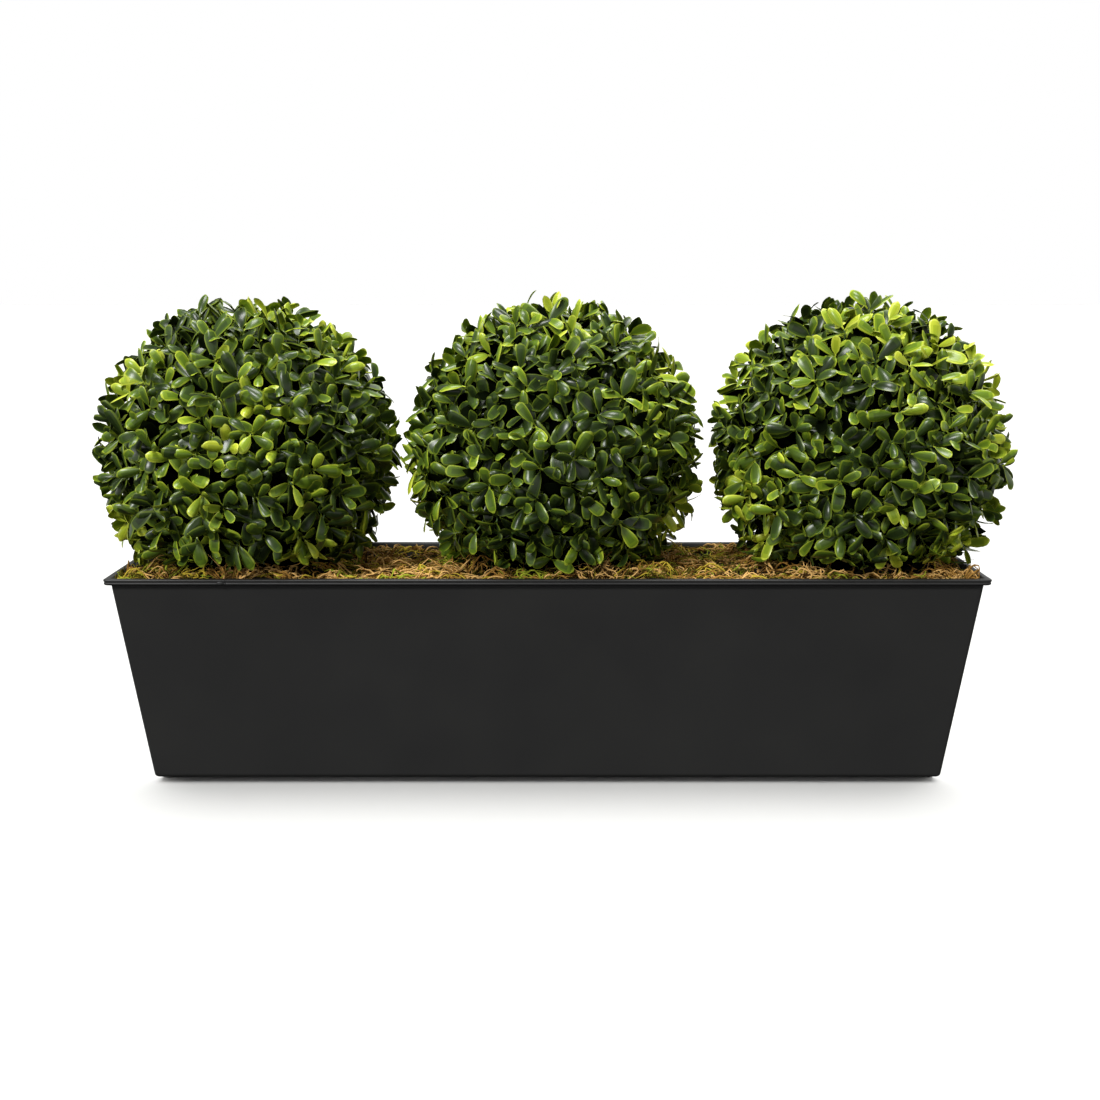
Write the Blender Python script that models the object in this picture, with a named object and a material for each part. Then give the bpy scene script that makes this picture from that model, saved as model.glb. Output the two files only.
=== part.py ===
"""Artificial triple ball boxwood topiary in a long painted sheet-metal trough.

Three clipped balls of moulded leaves stand in a row on a bed of moss that fills a tapered trough.
Metres, +Z up. The origin is the middle of the trough's flat underside, +X runs along the trough,
and the front of the arrangement looks towards -Y.
"""

import math
import random

import bmesh
import bpy
from mathutils import Matrix, Vector

# The trough: a tapered box of sheet metal with a rolled rim of two beads
RIM_LENGTH = 0.834
RIM_DEPTH = 0.225
TROUGH_HEIGHT = 0.2025
RIM_OVERHANG = 0.0055
RIM_DROP = 0.0058
WALL_TAPER = 0.028
SHEET = 0.0016
FLOOR_BEND = 0.0035
CORNER_RADIUS = 0.003
CORNER_SHARE = 0.3
CORNER_STEPS = 4
BEAD_STEPS = 3

# The balls: they stand in a row whose middle lies a little to the right of the trough's
BALL_NAMES = ("left", "middle", "right")
BALL_PITCH = 0.302
ROW_SHIFT = 0.006
BALL_HEIGHT = 0.311
CORE_RADIUS = 0.135
CORE_DETAIL = 3
MASS_RADIUS = 0.155
FIRST_SEED = 11

# The sprays: a short three-sided twig that ends in a rosette of two crossed pairs of leaves
SPRAYS_ON_BALL = 64
SPRAY_SCATTER = math.radians(4)
TWIG_LENGTHS = (0.0049, 0.0081)
TWIG_RADIUS = 0.0022
TWIG_TIP_RADIUS = 0.0015
TWIG_SINK = 0.006
TWIG_LEAN = math.radians(12)
HUB_RADIUS = 0.0036
HUB_RISE = 0.0012
LEAVES_ON_TWIG = 4
LEAF_LENGTH = 0.044
LEAF_WIDTH = 0.027
LEAF_SIZES = (0.9, 1.08)
INNER_SHARE = 0.72
LEAF_BELLY = 0.56
LEAF_BULGE = 0.0013
LEAF_HOLLOW = 0.0003
LEAF_DROOP = 0.003
LEAF_TWIST = 0.18
OUTER_SPREAD = math.radians(80)
INNER_SPREAD = math.radians(60)
SPREAD_SCATTER = math.radians(6)
SPREAD_STEP = math.radians(6)
SPREAD_TRIES = 5

# The bed: moss over filling, from the trough's floor to just under its rim, mounded round the balls
MOSS_LEVEL = 0.1975
MOSS_MOUND = 0.0085
MOUND_WIDTH = 0.045
RIPPLE = 0.002
RIPPLE_ALONG = 71
RIPPLE_ACROSS = 58
RIPPLE_SLANT = (90, -64)
EDGE_DROP = 0.0035
EDGE_BAND = 0.030
BED_CELLS_X = 32
BED_CELLS_Y = 7

# The stems: short pegs that stand in a seat in the bed and run up into the cores
STEM_SIDES = 12
STEM_FOOT_RADIUS = 0.010
STEM_RADIUS = 0.0075
STEM_TIP_RADIUS = 0.006
STEM_POINT_RADIUS = 0.0042
STEM_POINT = 0.004
STEM_FLARE = 0.008
FLARE_STEPS = 2
STEM_TOP = -0.050
SEAT_DEPTH = 0.004
SEAT_RADIUS = 0.0135
SEAT_CUT = 0.030
SOCKET_MOUTH = 0.010

# Clearances between neighbours
GAP = 0.0003
POCKET_GAP = 0.00033
RIM_CLEARANCE = 0.0012
MOSS_CLEARANCE = 0.0048

SMOOTH_BELOW = math.radians(40)
GOLDEN_ANGLE = math.pi * (3 - math.sqrt(5))

# Each finish as its linear colour, roughness and metallic value
FINISHES = {
    "painted_steel": ((0.019, 0.019, 0.020), 0.45, 0.6),
    "moss": ((0.250, 0.160, 0.045), 0.95, 0.0),
    "leaf_plastic": ((0.105, 0.205, 0.035), 0.4, 0.0),
    "peg_wood": ((0.200, 0.120, 0.060), 0.8, 0.0),
}


def clear_scene():
    for thing in list(bpy.data.objects):
        bpy.data.objects.remove(thing)


def finish(name):
    """The named finish as a Principled BSDF material, made the first time it is asked for."""
    found = bpy.data.materials.get(name)
    if found:
        return found
    colour, roughness, metallic = FINISHES[name]
    made = bpy.data.materials.new(name)
    made.use_nodes = True
    shader = made.node_tree.nodes["Principled BSDF"]
    shader.inputs["Base Color"].default_value = (*colour, 1)
    shader.inputs["Roughness"].default_value = roughness
    shader.inputs["Metallic"].default_value = metallic
    return made


def add_object(name, bm, finish_name, place=(0, 0, 0), collection=None):
    """Turns a bmesh into an object with one finish, standing at its place."""
    bmesh.ops.recalc_face_normals(bm, faces=bm.faces)
    mesh = bpy.data.meshes.new(name)
    bm.to_mesh(mesh)
    bm.free()
    mesh.materials.append(finish(finish_name))
    thing = bpy.data.objects.new(name, mesh)
    thing.location = place
    (collection or bpy.context.scene.collection).objects.link(thing)
    return thing


def smooth(thing):
    thing.data.shade_smooth()
    thing.data.set_sharp_from_angle(angle=SMOOTH_BELOW)


def apply_modifiers(thing):
    bpy.context.view_layer.update()
    graph = bpy.context.evaluated_depsgraph_get()
    made = bpy.data.meshes.new_from_object(thing.evaluated_get(graph))
    made.name = thing.name
    thing.modifiers.clear()
    thing.data = made


def cut(thing, bm, place):
    """Takes the shape in bm, standing at its place, out of thing."""
    cutter = add_object("cutter", bm, "moss", place)
    cutter.hide_render = True
    cutter.display_type = "WIRE"
    modifier = thing.modifiers.new("cut", "BOOLEAN")
    modifier.operation = "DIFFERENCE"
    modifier.object = cutter
    apply_modifiers(thing)
    bpy.data.objects.remove(cutter)


def skin(bm, rings):
    """Joins rings of equally many corners, low to high, and closes both ends."""
    rings = [[bm.verts.new(corner) for corner in ring] for ring in rings]
    for lower, upper in zip(rings, rings[1:]):
        for k in range(len(lower)):
            following = (k + 1) % len(lower)
            bm.faces.new((lower[k], lower[following], upper[following], upper[k]))
    bm.faces.new(rings[0][::-1])
    bm.faces.new(rings[-1])


def arc(across, up, radius, start, end, steps):
    """Points along an arc about (across, up), between two angles in degrees."""
    points = []
    for step in range(steps + 1):
        angle = math.radians(start + (end - start) * step / steps)
        points.append((across + radius * math.cos(angle), up + radius * math.sin(angle)))
    return points


def rounded_rectangle(half_x, half_y, radius):
    """Points anticlockwise round a rectangle whose corners are arcs."""
    points = []
    for side_x, side_y, start in ((1, 1, 0), (-1, 1, 90), (-1, -1, 180), (1, -1, 270)):
        centre_x = side_x * (half_x - radius)
        centre_y = side_y * (half_y - radius)
        points += arc(centre_x, centre_y, radius, start, start + 90, CORNER_STEPS)
    return points


def body_halves(height):
    """Half length and half depth of the trough's outer wall at this height."""
    inset = RIM_OVERHANG + WALL_TAPER * (1 - height / TROUGH_HEIGHT)
    return RIM_LENGTH / 2 - inset, RIM_DEPTH / 2 - inset


def trough_section():
    """The trough's section as (offset out from the outer wall, height): from the underside's edge
    up the outside, over the two beads of the rim and down the inside to the floor."""
    top = TROUGH_HEIGHT
    under = top - RIM_DROP
    bead = RIM_DROP / 4
    bead_centre = RIM_OVERHANG - bead
    section = arc(-FLOOR_BEND, FLOOR_BEND, FLOOR_BEND, -90, 0, 2)
    section.append((0, under))
    section += arc(bead_centre, under + bead, bead, -90, 50, BEAD_STEPS)
    section += arc(bead_centre, top - bead, bead, -50, 90, BEAD_STEPS)
    section += [(-SHEET / 2, top), (-SHEET, top - bead / 2)]
    section += [(-SHEET, SHEET + FLOOR_BEND), (-SHEET - FLOOR_BEND, SHEET)]
    return section


def make_trough():
    rings = []
    for offset, height in trough_section():
        half_x, half_y = body_halves(height)
        radius = CORNER_RADIUS + offset * CORNER_SHARE
        outline = rounded_rectangle(half_x + offset, half_y + offset, radius)
        rings.append([(x, y, height) for x, y in outline])
    bm = bmesh.new()
    skin(bm, rings)
    trough = add_object("planter", bm, "painted_steel")
    smooth(trough)
    return trough


def ball_centres():
    middle = (len(BALL_NAMES) - 1) / 2
    return [Vector((ROW_SHIFT + (k - middle) * BALL_PITCH, 0, BALL_HEIGHT)) for k in range(len(BALL_NAMES))]


def core_shape(grow=0.0):
    """The faceted core of a ball about the origin, or the same facets grown by a gap."""
    bm = bmesh.new()
    bmesh.ops.create_icosphere(bm, subdivisions=CORE_DETAIL, radius=CORE_RADIUS + grow)
    return bm


def moss_height(x, y):
    """The moss's surface: level at the wall, mounded where it meets each ball, with a soft ripple."""
    where_balls_enter = math.sqrt(CORE_RADIUS**2 - (BALL_HEIGHT - MOSS_LEVEL) ** 2)
    mound = 0.0
    for centre in ball_centres():
        away = math.hypot(x - centre.x, y) - where_balls_enter
        mound = max(mound, MOSS_MOUND * math.exp(-((away / MOUND_WIDTH) ** 2)))
    slant = RIPPLE_SLANT[0] * x + RIPPLE_SLANT[1] * y
    wave = math.sin(RIPPLE_ALONG * x + 1) * math.cos(RIPPLE_ACROSS * y) + math.sin(slant) / 2
    half_x, half_y = body_halves(TROUGH_HEIGHT)
    to_wall = max(0.0, min(half_x - abs(x), half_y - abs(y)))
    inner = min(1.0, to_wall / EDGE_BAND)
    return MOSS_LEVEL - EDGE_DROP * (1 - inner) + inner * (mound + RIPPLE * wave)


def bed_halves(height):
    """Half length and half depth of the bed at this height, a gap inside the trough's wall."""
    half_x, half_y = body_halves(height)
    return half_x - SHEET - GAP, half_y - SHEET - GAP


def add_moss_surface(bm, half_x, half_y):
    """A grid over the trough's mouth at the moss's height, its corners drawn in to fit the bends."""
    corner_pull = CORNER_RADIUS * (1 - math.sqrt(0.5))
    rows = []
    for j in range(BED_CELLS_Y + 1):
        row = []
        for i in range(BED_CELLS_X + 1):
            x = half_x * (2 * i / BED_CELLS_X - 1)
            y = half_y * (2 * j / BED_CELLS_Y - 1)
            height = moss_height(x, y)
            if i in (0, BED_CELLS_X) and j in (0, BED_CELLS_Y):
                x -= math.copysign(corner_pull, x)
                y -= math.copysign(corner_pull, y)
            row.append(bm.verts.new((x, y, height)))
        rows.append(row)
    for near, far in zip(rows, rows[1:]):
        for i in range(BED_CELLS_X):
            bm.faces.new((near[i], near[i + 1], far[i + 1], far[i]))


def extend_down(bm, scale_x, scale_y, height):
    """Draws the open edge of a surface down to a height, scaled about the trough's middle."""
    open_edge = [edge for edge in bm.edges if edge.is_boundary]
    drawn = bmesh.ops.extrude_edge_only(bm, edges=open_edge)["geom"]
    for corner in (part for part in drawn if isinstance(part, bmesh.types.BMVert)):
        corner.co = Vector((corner.co.x * scale_x, corner.co.y * scale_y, height))


def seat_shape():
    """The round seat of a stem, from its floor upwards."""
    bm = bmesh.new()
    ring = [(x, y) for x, y in arc(0, 0, SEAT_RADIUS, 0, 360, STEM_SIDES)][:-1]
    skin(bm, [[(x, y, height) for x, y in ring] for height in (seat_floor(), seat_floor() + SEAT_CUT)])
    return bm


def make_bed():
    """One solid of filling and moss, with a pocket under each ball and a seat for its stem."""
    bm = bmesh.new()
    top_x, top_y = bed_halves(MOSS_LEVEL - EDGE_DROP)
    add_moss_surface(bm, top_x, top_y)
    bend = FLOOR_BEND + GAP * (math.sqrt(2) - 1)
    bend_x, bend_y = bed_halves(SHEET + bend)
    extend_down(bm, bend_x / top_x, bend_y / top_y, SHEET + bend)
    floor_x, floor_y = bed_halves(SHEET + GAP)
    extend_down(bm, (floor_x - bend) / bend_x, (floor_y - bend) / bend_y, SHEET + GAP)
    bmesh.ops.edgeloop_fill(bm, edges=[edge for edge in bm.edges if edge.is_boundary])
    bmesh.ops.triangulate(bm, faces=bm.faces)
    bed = add_object("moss_bed", bm, "moss")
    for centre in ball_centres():
        cut(bed, core_shape(POCKET_GAP), centre)
        cut(bed, seat_shape(), centre)
    return bed


def seat_floor():
    """The height of a stem's seat below its ball's centre, as a negative number."""
    return -CORE_RADIUS - SEAT_DEPTH


def stem_profile():
    """(radius, height from the ball's centre) up a stem, from its flat foot to its tip."""
    foot = seat_floor() + GAP
    profile = []
    for step in range(FLARE_STEPS + 1):
        share = step / FLARE_STEPS
        radius = STEM_RADIUS + (STEM_FOOT_RADIUS - STEM_RADIUS) * (1 - share) ** 2
        profile.append((radius, foot + STEM_FLARE * share))
    profile.append((STEM_TIP_RADIUS, STEM_TOP - STEM_POINT))
    profile.append((STEM_POINT_RADIUS, STEM_TOP))
    return profile


def turned(profile):
    """A round shape about the vertical axis, from (radius, height) pairs going up."""
    bm = bmesh.new()
    rings = []
    for radius, height in profile:
        ring = arc(0, 0, radius, 0, 360, STEM_SIDES)[:-1]
        rings.append([(x, y, height) for x, y in ring])
    skin(bm, rings)
    return bm


def make_stem(name, centre):
    stem = add_object(name, turned(stem_profile()), "peg_wood", centre)
    smooth(stem)
    return stem


def stem_socket():
    """The stem's shape grown by a gap, run out below the core so that the socket is open."""
    profile = [(radius + GAP, height) for radius, height in stem_profile()]
    mouth_radius, mouth_height = profile[0]
    point_radius, point_height = profile[-1]
    profile[0] = (mouth_radius, mouth_height - SOCKET_MOUTH)
    profile[-1] = (point_radius, point_height + GAP)
    return turned(profile)


def even_directions(count):
    """Directions spread evenly over a sphere, on a golden spiral."""
    for k in range(count):
        z = 1 - 2 * (k + 0.5) / count
        flat = math.sqrt(1 - z * z)
        yield Vector((flat * math.cos(GOLDEN_ANGLE * k), flat * math.sin(GOLDEN_ANGLE * k), z))


def spoke(axis, angle):
    """A unit vector square to the axis, turned about it by an angle."""
    return Matrix.Rotation(angle, 3, axis) @ axis.orthogonal().normalized()


def leaned(direction, most, dice):
    """The direction tilted by up to most, towards a random side."""
    side = spoke(direction, dice.uniform(0, 2 * math.pi))
    return (direction + side * math.tan(most * dice.random())).normalized()


def twig_shape(root, tip):
    """A three-sided tapered twig."""
    bm = bmesh.new()
    along = tip - root
    turn = along.to_track_quat("Z", "Y").to_matrix().to_4x4()
    bmesh.ops.create_cone(
        bm,
        cap_ends=True,
        segments=3,
        radius1=TWIG_RADIUS,
        radius2=TWIG_TIP_RADIUS,
        depth=along.length,
        matrix=Matrix.Translation((root + tip) / 2) @ turn,
    )
    return bm


def leaf_corners(hub, along, aim, size):
    """A leaf's corners beyond its hub: near edge, tip, far edge, upper and lower belly."""
    across = aim.cross(along).normalized()
    normal = along.cross(across).normalized()
    belly = hub + along * (LEAF_LENGTH * size * LEAF_BELLY)
    half = across * (LEAF_WIDTH * size / 2)
    tip = hub + along * (LEAF_LENGTH * size) - normal * LEAF_DROOP
    return [belly - half, tip, belly + half, belly + normal * LEAF_BULGE, belly - normal * LEAF_HOLLOW]


def rosette_shape(hub, aim, turn, leaves):
    """Up to four leaves fused round a hub. A side that has no leaf is closed flat."""
    bm = bmesh.new()
    valleys = []
    for k in range(LEAVES_ON_TWIG):
        between = turn + (k - 0.5) * 2 * math.pi / LEAVES_ON_TWIG
        valleys.append(bm.verts.new(hub + spoke(aim, between) * HUB_RADIUS))
    crown = bm.verts.new(hub + aim * HUB_RISE)
    keel = bm.verts.new(hub - aim * HUB_RISE)
    for k, corners in enumerate(leaves):
        start = valleys[k]
        end = valleys[(k + 1) % LEAVES_ON_TWIG]
        if corners is None:
            bm.faces.new((start, end, crown))
            bm.faces.new((end, start, keel))
            continue
        near, tip, far, upper, lower = [bm.verts.new(corner) for corner in corners]
        outline = (start, near, tip, far, end)
        for belly, middle in ((upper, crown), (lower, keel)):
            for a, b in zip(outline, outline[1:]):
                bm.faces.new((a, b, belly))
            bm.faces.new((end, middle, belly))
            bm.faces.new((middle, start, belly))
    return bm


def keeps_its_space(point, centre):
    """Whether a point, given from its ball's centre, stays inside the ball's reach, on its own
    side of the next ball, above the moss and clear of the rim."""
    if point.length > MASS_RADIUS:
        return False
    if abs(point.x) > (BALL_PITCH - GAP) / 2:
        return False
    x, y, z = centre + point
    half_x, half_y = body_halves(TROUGH_HEIGHT)
    inside_wall = SHEET + RIM_CLEARANCE
    if abs(x) < half_x - inside_wall and abs(y) < half_y - inside_wall:
        return z > moss_height(x, y) + MOSS_CLEARANCE
    return z > TROUGH_HEIGHT + RIM_CLEARANCE


def fitted_leaf(hub, aim, side, spread, size, centre):
    """A leaf's corners, bent further from the twig until they fit the ball's space, or None."""
    for step in range(SPREAD_TRIES):
        angle = spread + step * SPREAD_STEP
        along = (aim * math.cos(angle) + side * math.sin(angle)).normalized()
        corners = leaf_corners(hub, along, aim, size)
        middles = [(a + b) / 2 for a, b in zip([hub, *corners], [*corners, hub])]
        if all(keeps_its_space(point, centre) for point in corners + middles):
            return corners
    return None


def spray_shapes(centre, direction, dice):
    """One spray's twig and its rosette, or nothing where no leaf fits the ball's space."""
    aim = leaned(direction, TWIG_LEAN, dice)
    foot = direction * CORE_RADIUS
    hub = foot + aim * dice.uniform(*TWIG_LENGTHS)
    turn = dice.uniform(0, math.pi)
    leaves = []
    for k in range(LEAVES_ON_TWIG):
        is_inner = k % 2 == 1
        spread = INNER_SPREAD if is_inner else OUTER_SPREAD
        spread += dice.uniform(-1, 1) * SPREAD_SCATTER
        size = dice.uniform(*LEAF_SIZES) * (INNER_SHARE if is_inner else 1)
        around = turn + k * 2 * math.pi / LEAVES_ON_TWIG + dice.uniform(-1, 1) * LEAF_TWIST
        leaves.append(fitted_leaf(hub, aim, spoke(aim, around), spread, size, centre))
    if not keeps_its_space(hub, centre) or not any(leaves):
        return []
    return [twig_shape(foot - aim * TWIG_SINK, hub), rosette_shape(hub, aim, turn, leaves)]


def make_ball(name, centre, seed):
    """A clipped ball: a faceted core with sprays of leaves fused on, hollowed for its stem."""
    dice = random.Random(seed)
    ball = add_object(name, core_shape(), "leaf_plastic", centre)
    cut(ball, stem_socket(), centre)
    sprays = bpy.data.collections.new(name + "_sprays")
    bpy.context.scene.collection.children.link(sprays)
    spin = Matrix.Rotation(dice.uniform(0, 2 * math.pi), 3, "Z")
    for even in even_directions(SPRAYS_ON_BALL):
        direction = spin @ leaned(even, SPRAY_SCATTER, dice)
        for shape in spray_shapes(centre, direction, dice):
            add_object("spray", shape, "leaf_plastic", centre, sprays)
    join = ball.modifiers.new("join", "BOOLEAN")
    join.operation = "UNION"
    join.operand_type = "COLLECTION"
    join.collection = sprays
    apply_modifiers(ball)
    for spray in list(sprays.objects):
        bpy.data.objects.remove(spray)
    bpy.data.collections.remove(sprays)
    return ball


def main():
    clear_scene()
    pieces = [make_trough(), make_bed()]
    for k, centre in enumerate(ball_centres()):
        pieces.append(make_stem("stem_" + BALL_NAMES[k], centre))
        pieces.append(make_ball("ball_" + BALL_NAMES[k], centre, FIRST_SEED + k))
    arrangement = bpy.data.objects.new("arrangement", None)
    bpy.context.scene.collection.objects.link(arrangement)
    for piece in pieces:
        piece.parent = arrangement


main()
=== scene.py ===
# %% [markdown]
# # An artificial triple ball topiary in a long metal planter
# Three clipped balls of moulded boxwood leaves stand side by side on dried moss, in a tapered trough of
# black painted sheet steel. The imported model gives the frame: where each ball, the moss and the trough
# are. This script dresses that frame. It makes every piece as a mesh, in metres, in the same place.

import math
import random

import bpy
import numpy as np
from mathutils import Matrix, Vector, noise


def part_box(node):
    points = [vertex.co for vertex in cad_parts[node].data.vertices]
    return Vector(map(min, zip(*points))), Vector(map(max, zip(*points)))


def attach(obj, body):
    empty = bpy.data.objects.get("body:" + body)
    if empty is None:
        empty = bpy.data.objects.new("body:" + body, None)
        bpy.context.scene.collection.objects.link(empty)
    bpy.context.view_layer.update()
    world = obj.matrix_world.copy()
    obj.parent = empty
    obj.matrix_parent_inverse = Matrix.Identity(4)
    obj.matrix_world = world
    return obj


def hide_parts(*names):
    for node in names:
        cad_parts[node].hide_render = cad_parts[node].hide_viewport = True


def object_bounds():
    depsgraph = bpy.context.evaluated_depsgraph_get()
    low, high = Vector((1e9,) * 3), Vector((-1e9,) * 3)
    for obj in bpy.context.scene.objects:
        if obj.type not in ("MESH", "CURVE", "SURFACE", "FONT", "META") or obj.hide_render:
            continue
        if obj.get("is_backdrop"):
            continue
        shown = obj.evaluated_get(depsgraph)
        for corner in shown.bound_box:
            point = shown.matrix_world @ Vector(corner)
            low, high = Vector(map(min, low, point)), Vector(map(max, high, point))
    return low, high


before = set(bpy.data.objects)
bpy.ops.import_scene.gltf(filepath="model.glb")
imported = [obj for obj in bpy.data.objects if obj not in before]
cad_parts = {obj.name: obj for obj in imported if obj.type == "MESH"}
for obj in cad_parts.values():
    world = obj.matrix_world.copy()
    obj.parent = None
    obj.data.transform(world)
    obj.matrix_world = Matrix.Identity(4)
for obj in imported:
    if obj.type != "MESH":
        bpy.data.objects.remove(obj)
CAD_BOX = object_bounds()
print("nodes:", sorted(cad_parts))
print("box of the solids:", [[round(v, 4) for v in corner] for corner in CAD_BOX])


# %% [markdown]
# Sizes are in metres, and the finer ones are given in millimetres. Colours are written as sRGB hex, which
# is how a paint chart or a photo gives them. The renderer adds light in linear values, so one function
# turns each hex colour to linear before a shader gets it.

# %% Millimetres and colours
MM = 0.001


def linear(hex_colour):
    """The linear red, green, blue and alpha of an sRGB hex colour."""
    parts = [int(hex_colour[k : k + 2], 16) / 255 for k in (1, 3, 5)]
    bright = [c / 12.92 if c <= 0.04045 else ((c + 0.055) / 1.055) ** 2.4 for c in parts]
    return (*bright, 1.0)


print("mid grey #808080 is linear", round(linear("#808080")[0], 3))


# %% [markdown]
# A material is a small graph of nodes. Every node is made the same way: its kind, the settings it
# needs, and the sockets that feed it. One function does that for all kinds. A colour ramp's stops are
# one of its settings: where each lies from 0 to 1, and its hex colour.

# %% Nodes and materials
def set_node(tree, node, settings, links=None):
    """Gives a node its settings, by property or socket name, and joins sockets to its inputs."""
    for name, value in settings.items():
        if name == "stops":
            ramp = node.color_ramp.elements
            ramp[0].position = value[0][0]
            ramp[1].position = value[-1][0]
            for place, _ in value[1:-1]:
                ramp.new(place)
            for stop, (_, colour) in zip(ramp, value):
                stop.color = linear(colour)
        elif isinstance(name, str) and hasattr(node, name):
            setattr(node, name, value)
        else:
            node.inputs[name].default_value = value
    for name, socket in (links or {}).items():
        tree.links.new(socket, node.inputs[name])


def add_node(tree, kind, settings=None, links=None):
    """Adds a node of this kind and sets it up."""
    node = tree.nodes.new(kind)
    set_node(tree, node, settings or {}, links)
    return node


def new_material(name):
    """An empty material, its node tree and its Principled shader, which is already joined up."""
    material = bpy.data.materials.new(name)
    material.use_nodes = True
    tree = material.node_tree
    tree.nodes.clear()
    shader = add_node(tree, "ShaderNodeBsdfPrincipled")
    add_node(tree, "ShaderNodeOutputMaterial", links={"Surface": shader.outputs["BSDF"]})
    return material, tree, shader


def plain_material(name, colour, roughness, ior, gloss=0.5):
    """A material of one plain colour, for the many small pieces that are coloured one by one."""
    material, tree, shader = new_material(name)
    satin = {"Roughness": roughness, "IOR": ior, "Specular IOR Level": gloss}
    set_node(tree, shader, {"Base Color": linear(colour), **satin})
    return material


# %% [markdown]
# All pieces are written as lists of points and faces. Small shapes, such as leaves, are gathered in one
# heap and made into one mesh at the end, because one big mesh is far quicker than thousands of objects.
# Most shapes are rows of rings: a tube, a peg, the shell inside a ball and the trough itself.

# %% Heaps of small shapes
def put_in_scene(name, data):
    """A new object with this mesh, light or camera."""
    thing = bpy.data.objects.new(name, data)
    bpy.context.scene.collection.objects.link(thing)
    return thing


def ring_faces(rows, columns):
    """Quads between closed rings of points: so many rings in a row, each of so many points."""
    faces = []
    for i in range(rows - 1):
        for j in range(columns):
            k = (j + 1) % columns
            here = i * columns
            after = here + columns
            faces.append((here + j, here + k, after + k, after + j))
    return faces


class Heap:
    """Points, faces and each face's material number, gathered for one piece."""

    def __init__(self):
        self.points = []
        self.faces = []
        self.zones = []
        self.count = 0

    def add(self, points, faces, zones=0):
        """Adds one shape: its points, its faces counted from those, and one zone or one for each face."""
        self.points.append(np.asarray(points, float))
        self.faces.append(np.asarray(faces, int) + self.count)
        self.zones.append(np.broadcast_to(zones, len(faces)))
        self.count += len(points)

    def add_face(self, corners, zone=0):
        """Adds one face between points that are in the heap already, counted from the heap's first."""
        self.faces.append(np.array([corners]))
        self.zones.append(np.array([zone]))

    def add_rings(self, points, sides, zone=0):
        """Adds a row of rings, each of so many points anticlockwise about the way that the row runs, and
        closes both of its ends."""
        first = self.count
        self.add(points, ring_faces(len(points) // sides, sides), zone)
        self.add_face(list(range(first, first + sides))[::-1], zone)
        self.add_face(list(range(self.count - sides, self.count)), zone)

    def make(self, name, materials, nodes, slot, smooth=True):
        """Turns the heap into one piece that rides on the body and stands for the nodes."""
        mesh = bpy.data.meshes.new(name)
        faces = [face for block in self.faces for face in block.tolist()]
        mesh.from_pydata(np.concatenate(self.points).tolist(), [], faces)
        for material in materials:
            mesh.materials.append(material)
        mesh.polygons.foreach_set("material_index", np.concatenate(self.zones))
        mesh.polygons.foreach_set("use_smooth", [smooth] * len(mesh.polygons))
        piece = put_in_scene(name, mesh)
        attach(piece, "root")
        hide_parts(*nodes)
        triangles = sum(len(face) - 2 for face in faces)
        print(f"{name}: {triangles} triangles")


print("quads between 3 rings of 8 points:", len(ring_faces(3, 8)))


# %% [markdown]
# The camera stands where the photo was taken from: 1.57 m in front of the row's middle, a little above
# the balls, tipped down by 9.4 degrees, with a 52 mm lens on a 36 mm wide sensor. These values put the
# trough's rim, corners and underside on the photo's own lines.

# %% Camera
LENS = 52
SENSOR_WIDTH = 36
CAMERA_PLACE = (0.0023, -1.5735, 0.4729)
CAMERA_DIP = 9.41
camera = put_in_scene("camera", bpy.data.cameras.new("camera"))
camera.data.lens = LENS
camera.data.sensor_width = SENSOR_WIDTH
camera.location = CAMERA_PLACE
camera.rotation_euler = (math.radians(90 - CAMERA_DIP), 0, 0)
bpy.context.scene.camera = camera
bpy.context.scene.view_settings.view_transform = "Standard"
print("camera at", tuple(round(v, 3) for v in camera.location))

# %% [markdown]
# The light is that of a white studio. The room glows white in a band at eye level and is dimmer above
# and dark below, so the gaps among the leaves stay deep. Three softboxes light the plant and the
# planter: a large one overhead, a smaller one high in front on the left, which gives the leaves their
# small white highlights, and a dim one behind. Two more light only the floor: a narrow one draws the
# dark line at the planter's foot, and a very wide one the soft fade in front of it. All are suns with
# an angular width, which light a whole floor evenly.

# %% Studio light
# How bright the room is by height, where -1 is straight down, 0 the horizon and 1 straight up. The first
# brightens from the dark floor up to the band, and the second dims from the band to the ceiling.
FLOOR_TO_BAND = {"From Min": -0.16, "From Max": -0.02, "To Min": 0.03, "To Max": 1.0}
BAND_TO_CEILING = {"From Min": 0.18, "From Max": 0.30, "To Min": 1.0, "To Max": 0.17}
world = bpy.data.worlds.new("studio")
bpy.context.scene.world = world
world.use_nodes = True
sky = world.node_tree
sky.nodes.clear()
direction = add_node(sky, "ShaderNodeTexCoord")
height = add_node(sky, "ShaderNodeSeparateXYZ", links={"Vector": direction.outputs["Generated"]})
low_part = add_node(sky, "ShaderNodeMapRange", FLOOR_TO_BAND, {"Value": height.outputs["Z"]})
high_part = add_node(sky, "ShaderNodeMapRange", BAND_TO_CEILING, {"Value": height.outputs["Z"]})
level = add_node(
    sky,
    "ShaderNodeMath",
    {"operation": "MULTIPLY"},
    {0: low_part.outputs["Result"], 1: high_part.outputs["Result"]},
)
white = add_node(
    sky, "ShaderNodeBackground", {"Color": linear("#ffffff")}, {"Strength": level.outputs["Value"]}
)
add_node(sky, "ShaderNodeOutputWorld", links={"Surface": white.outputs["Background"]})

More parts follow.
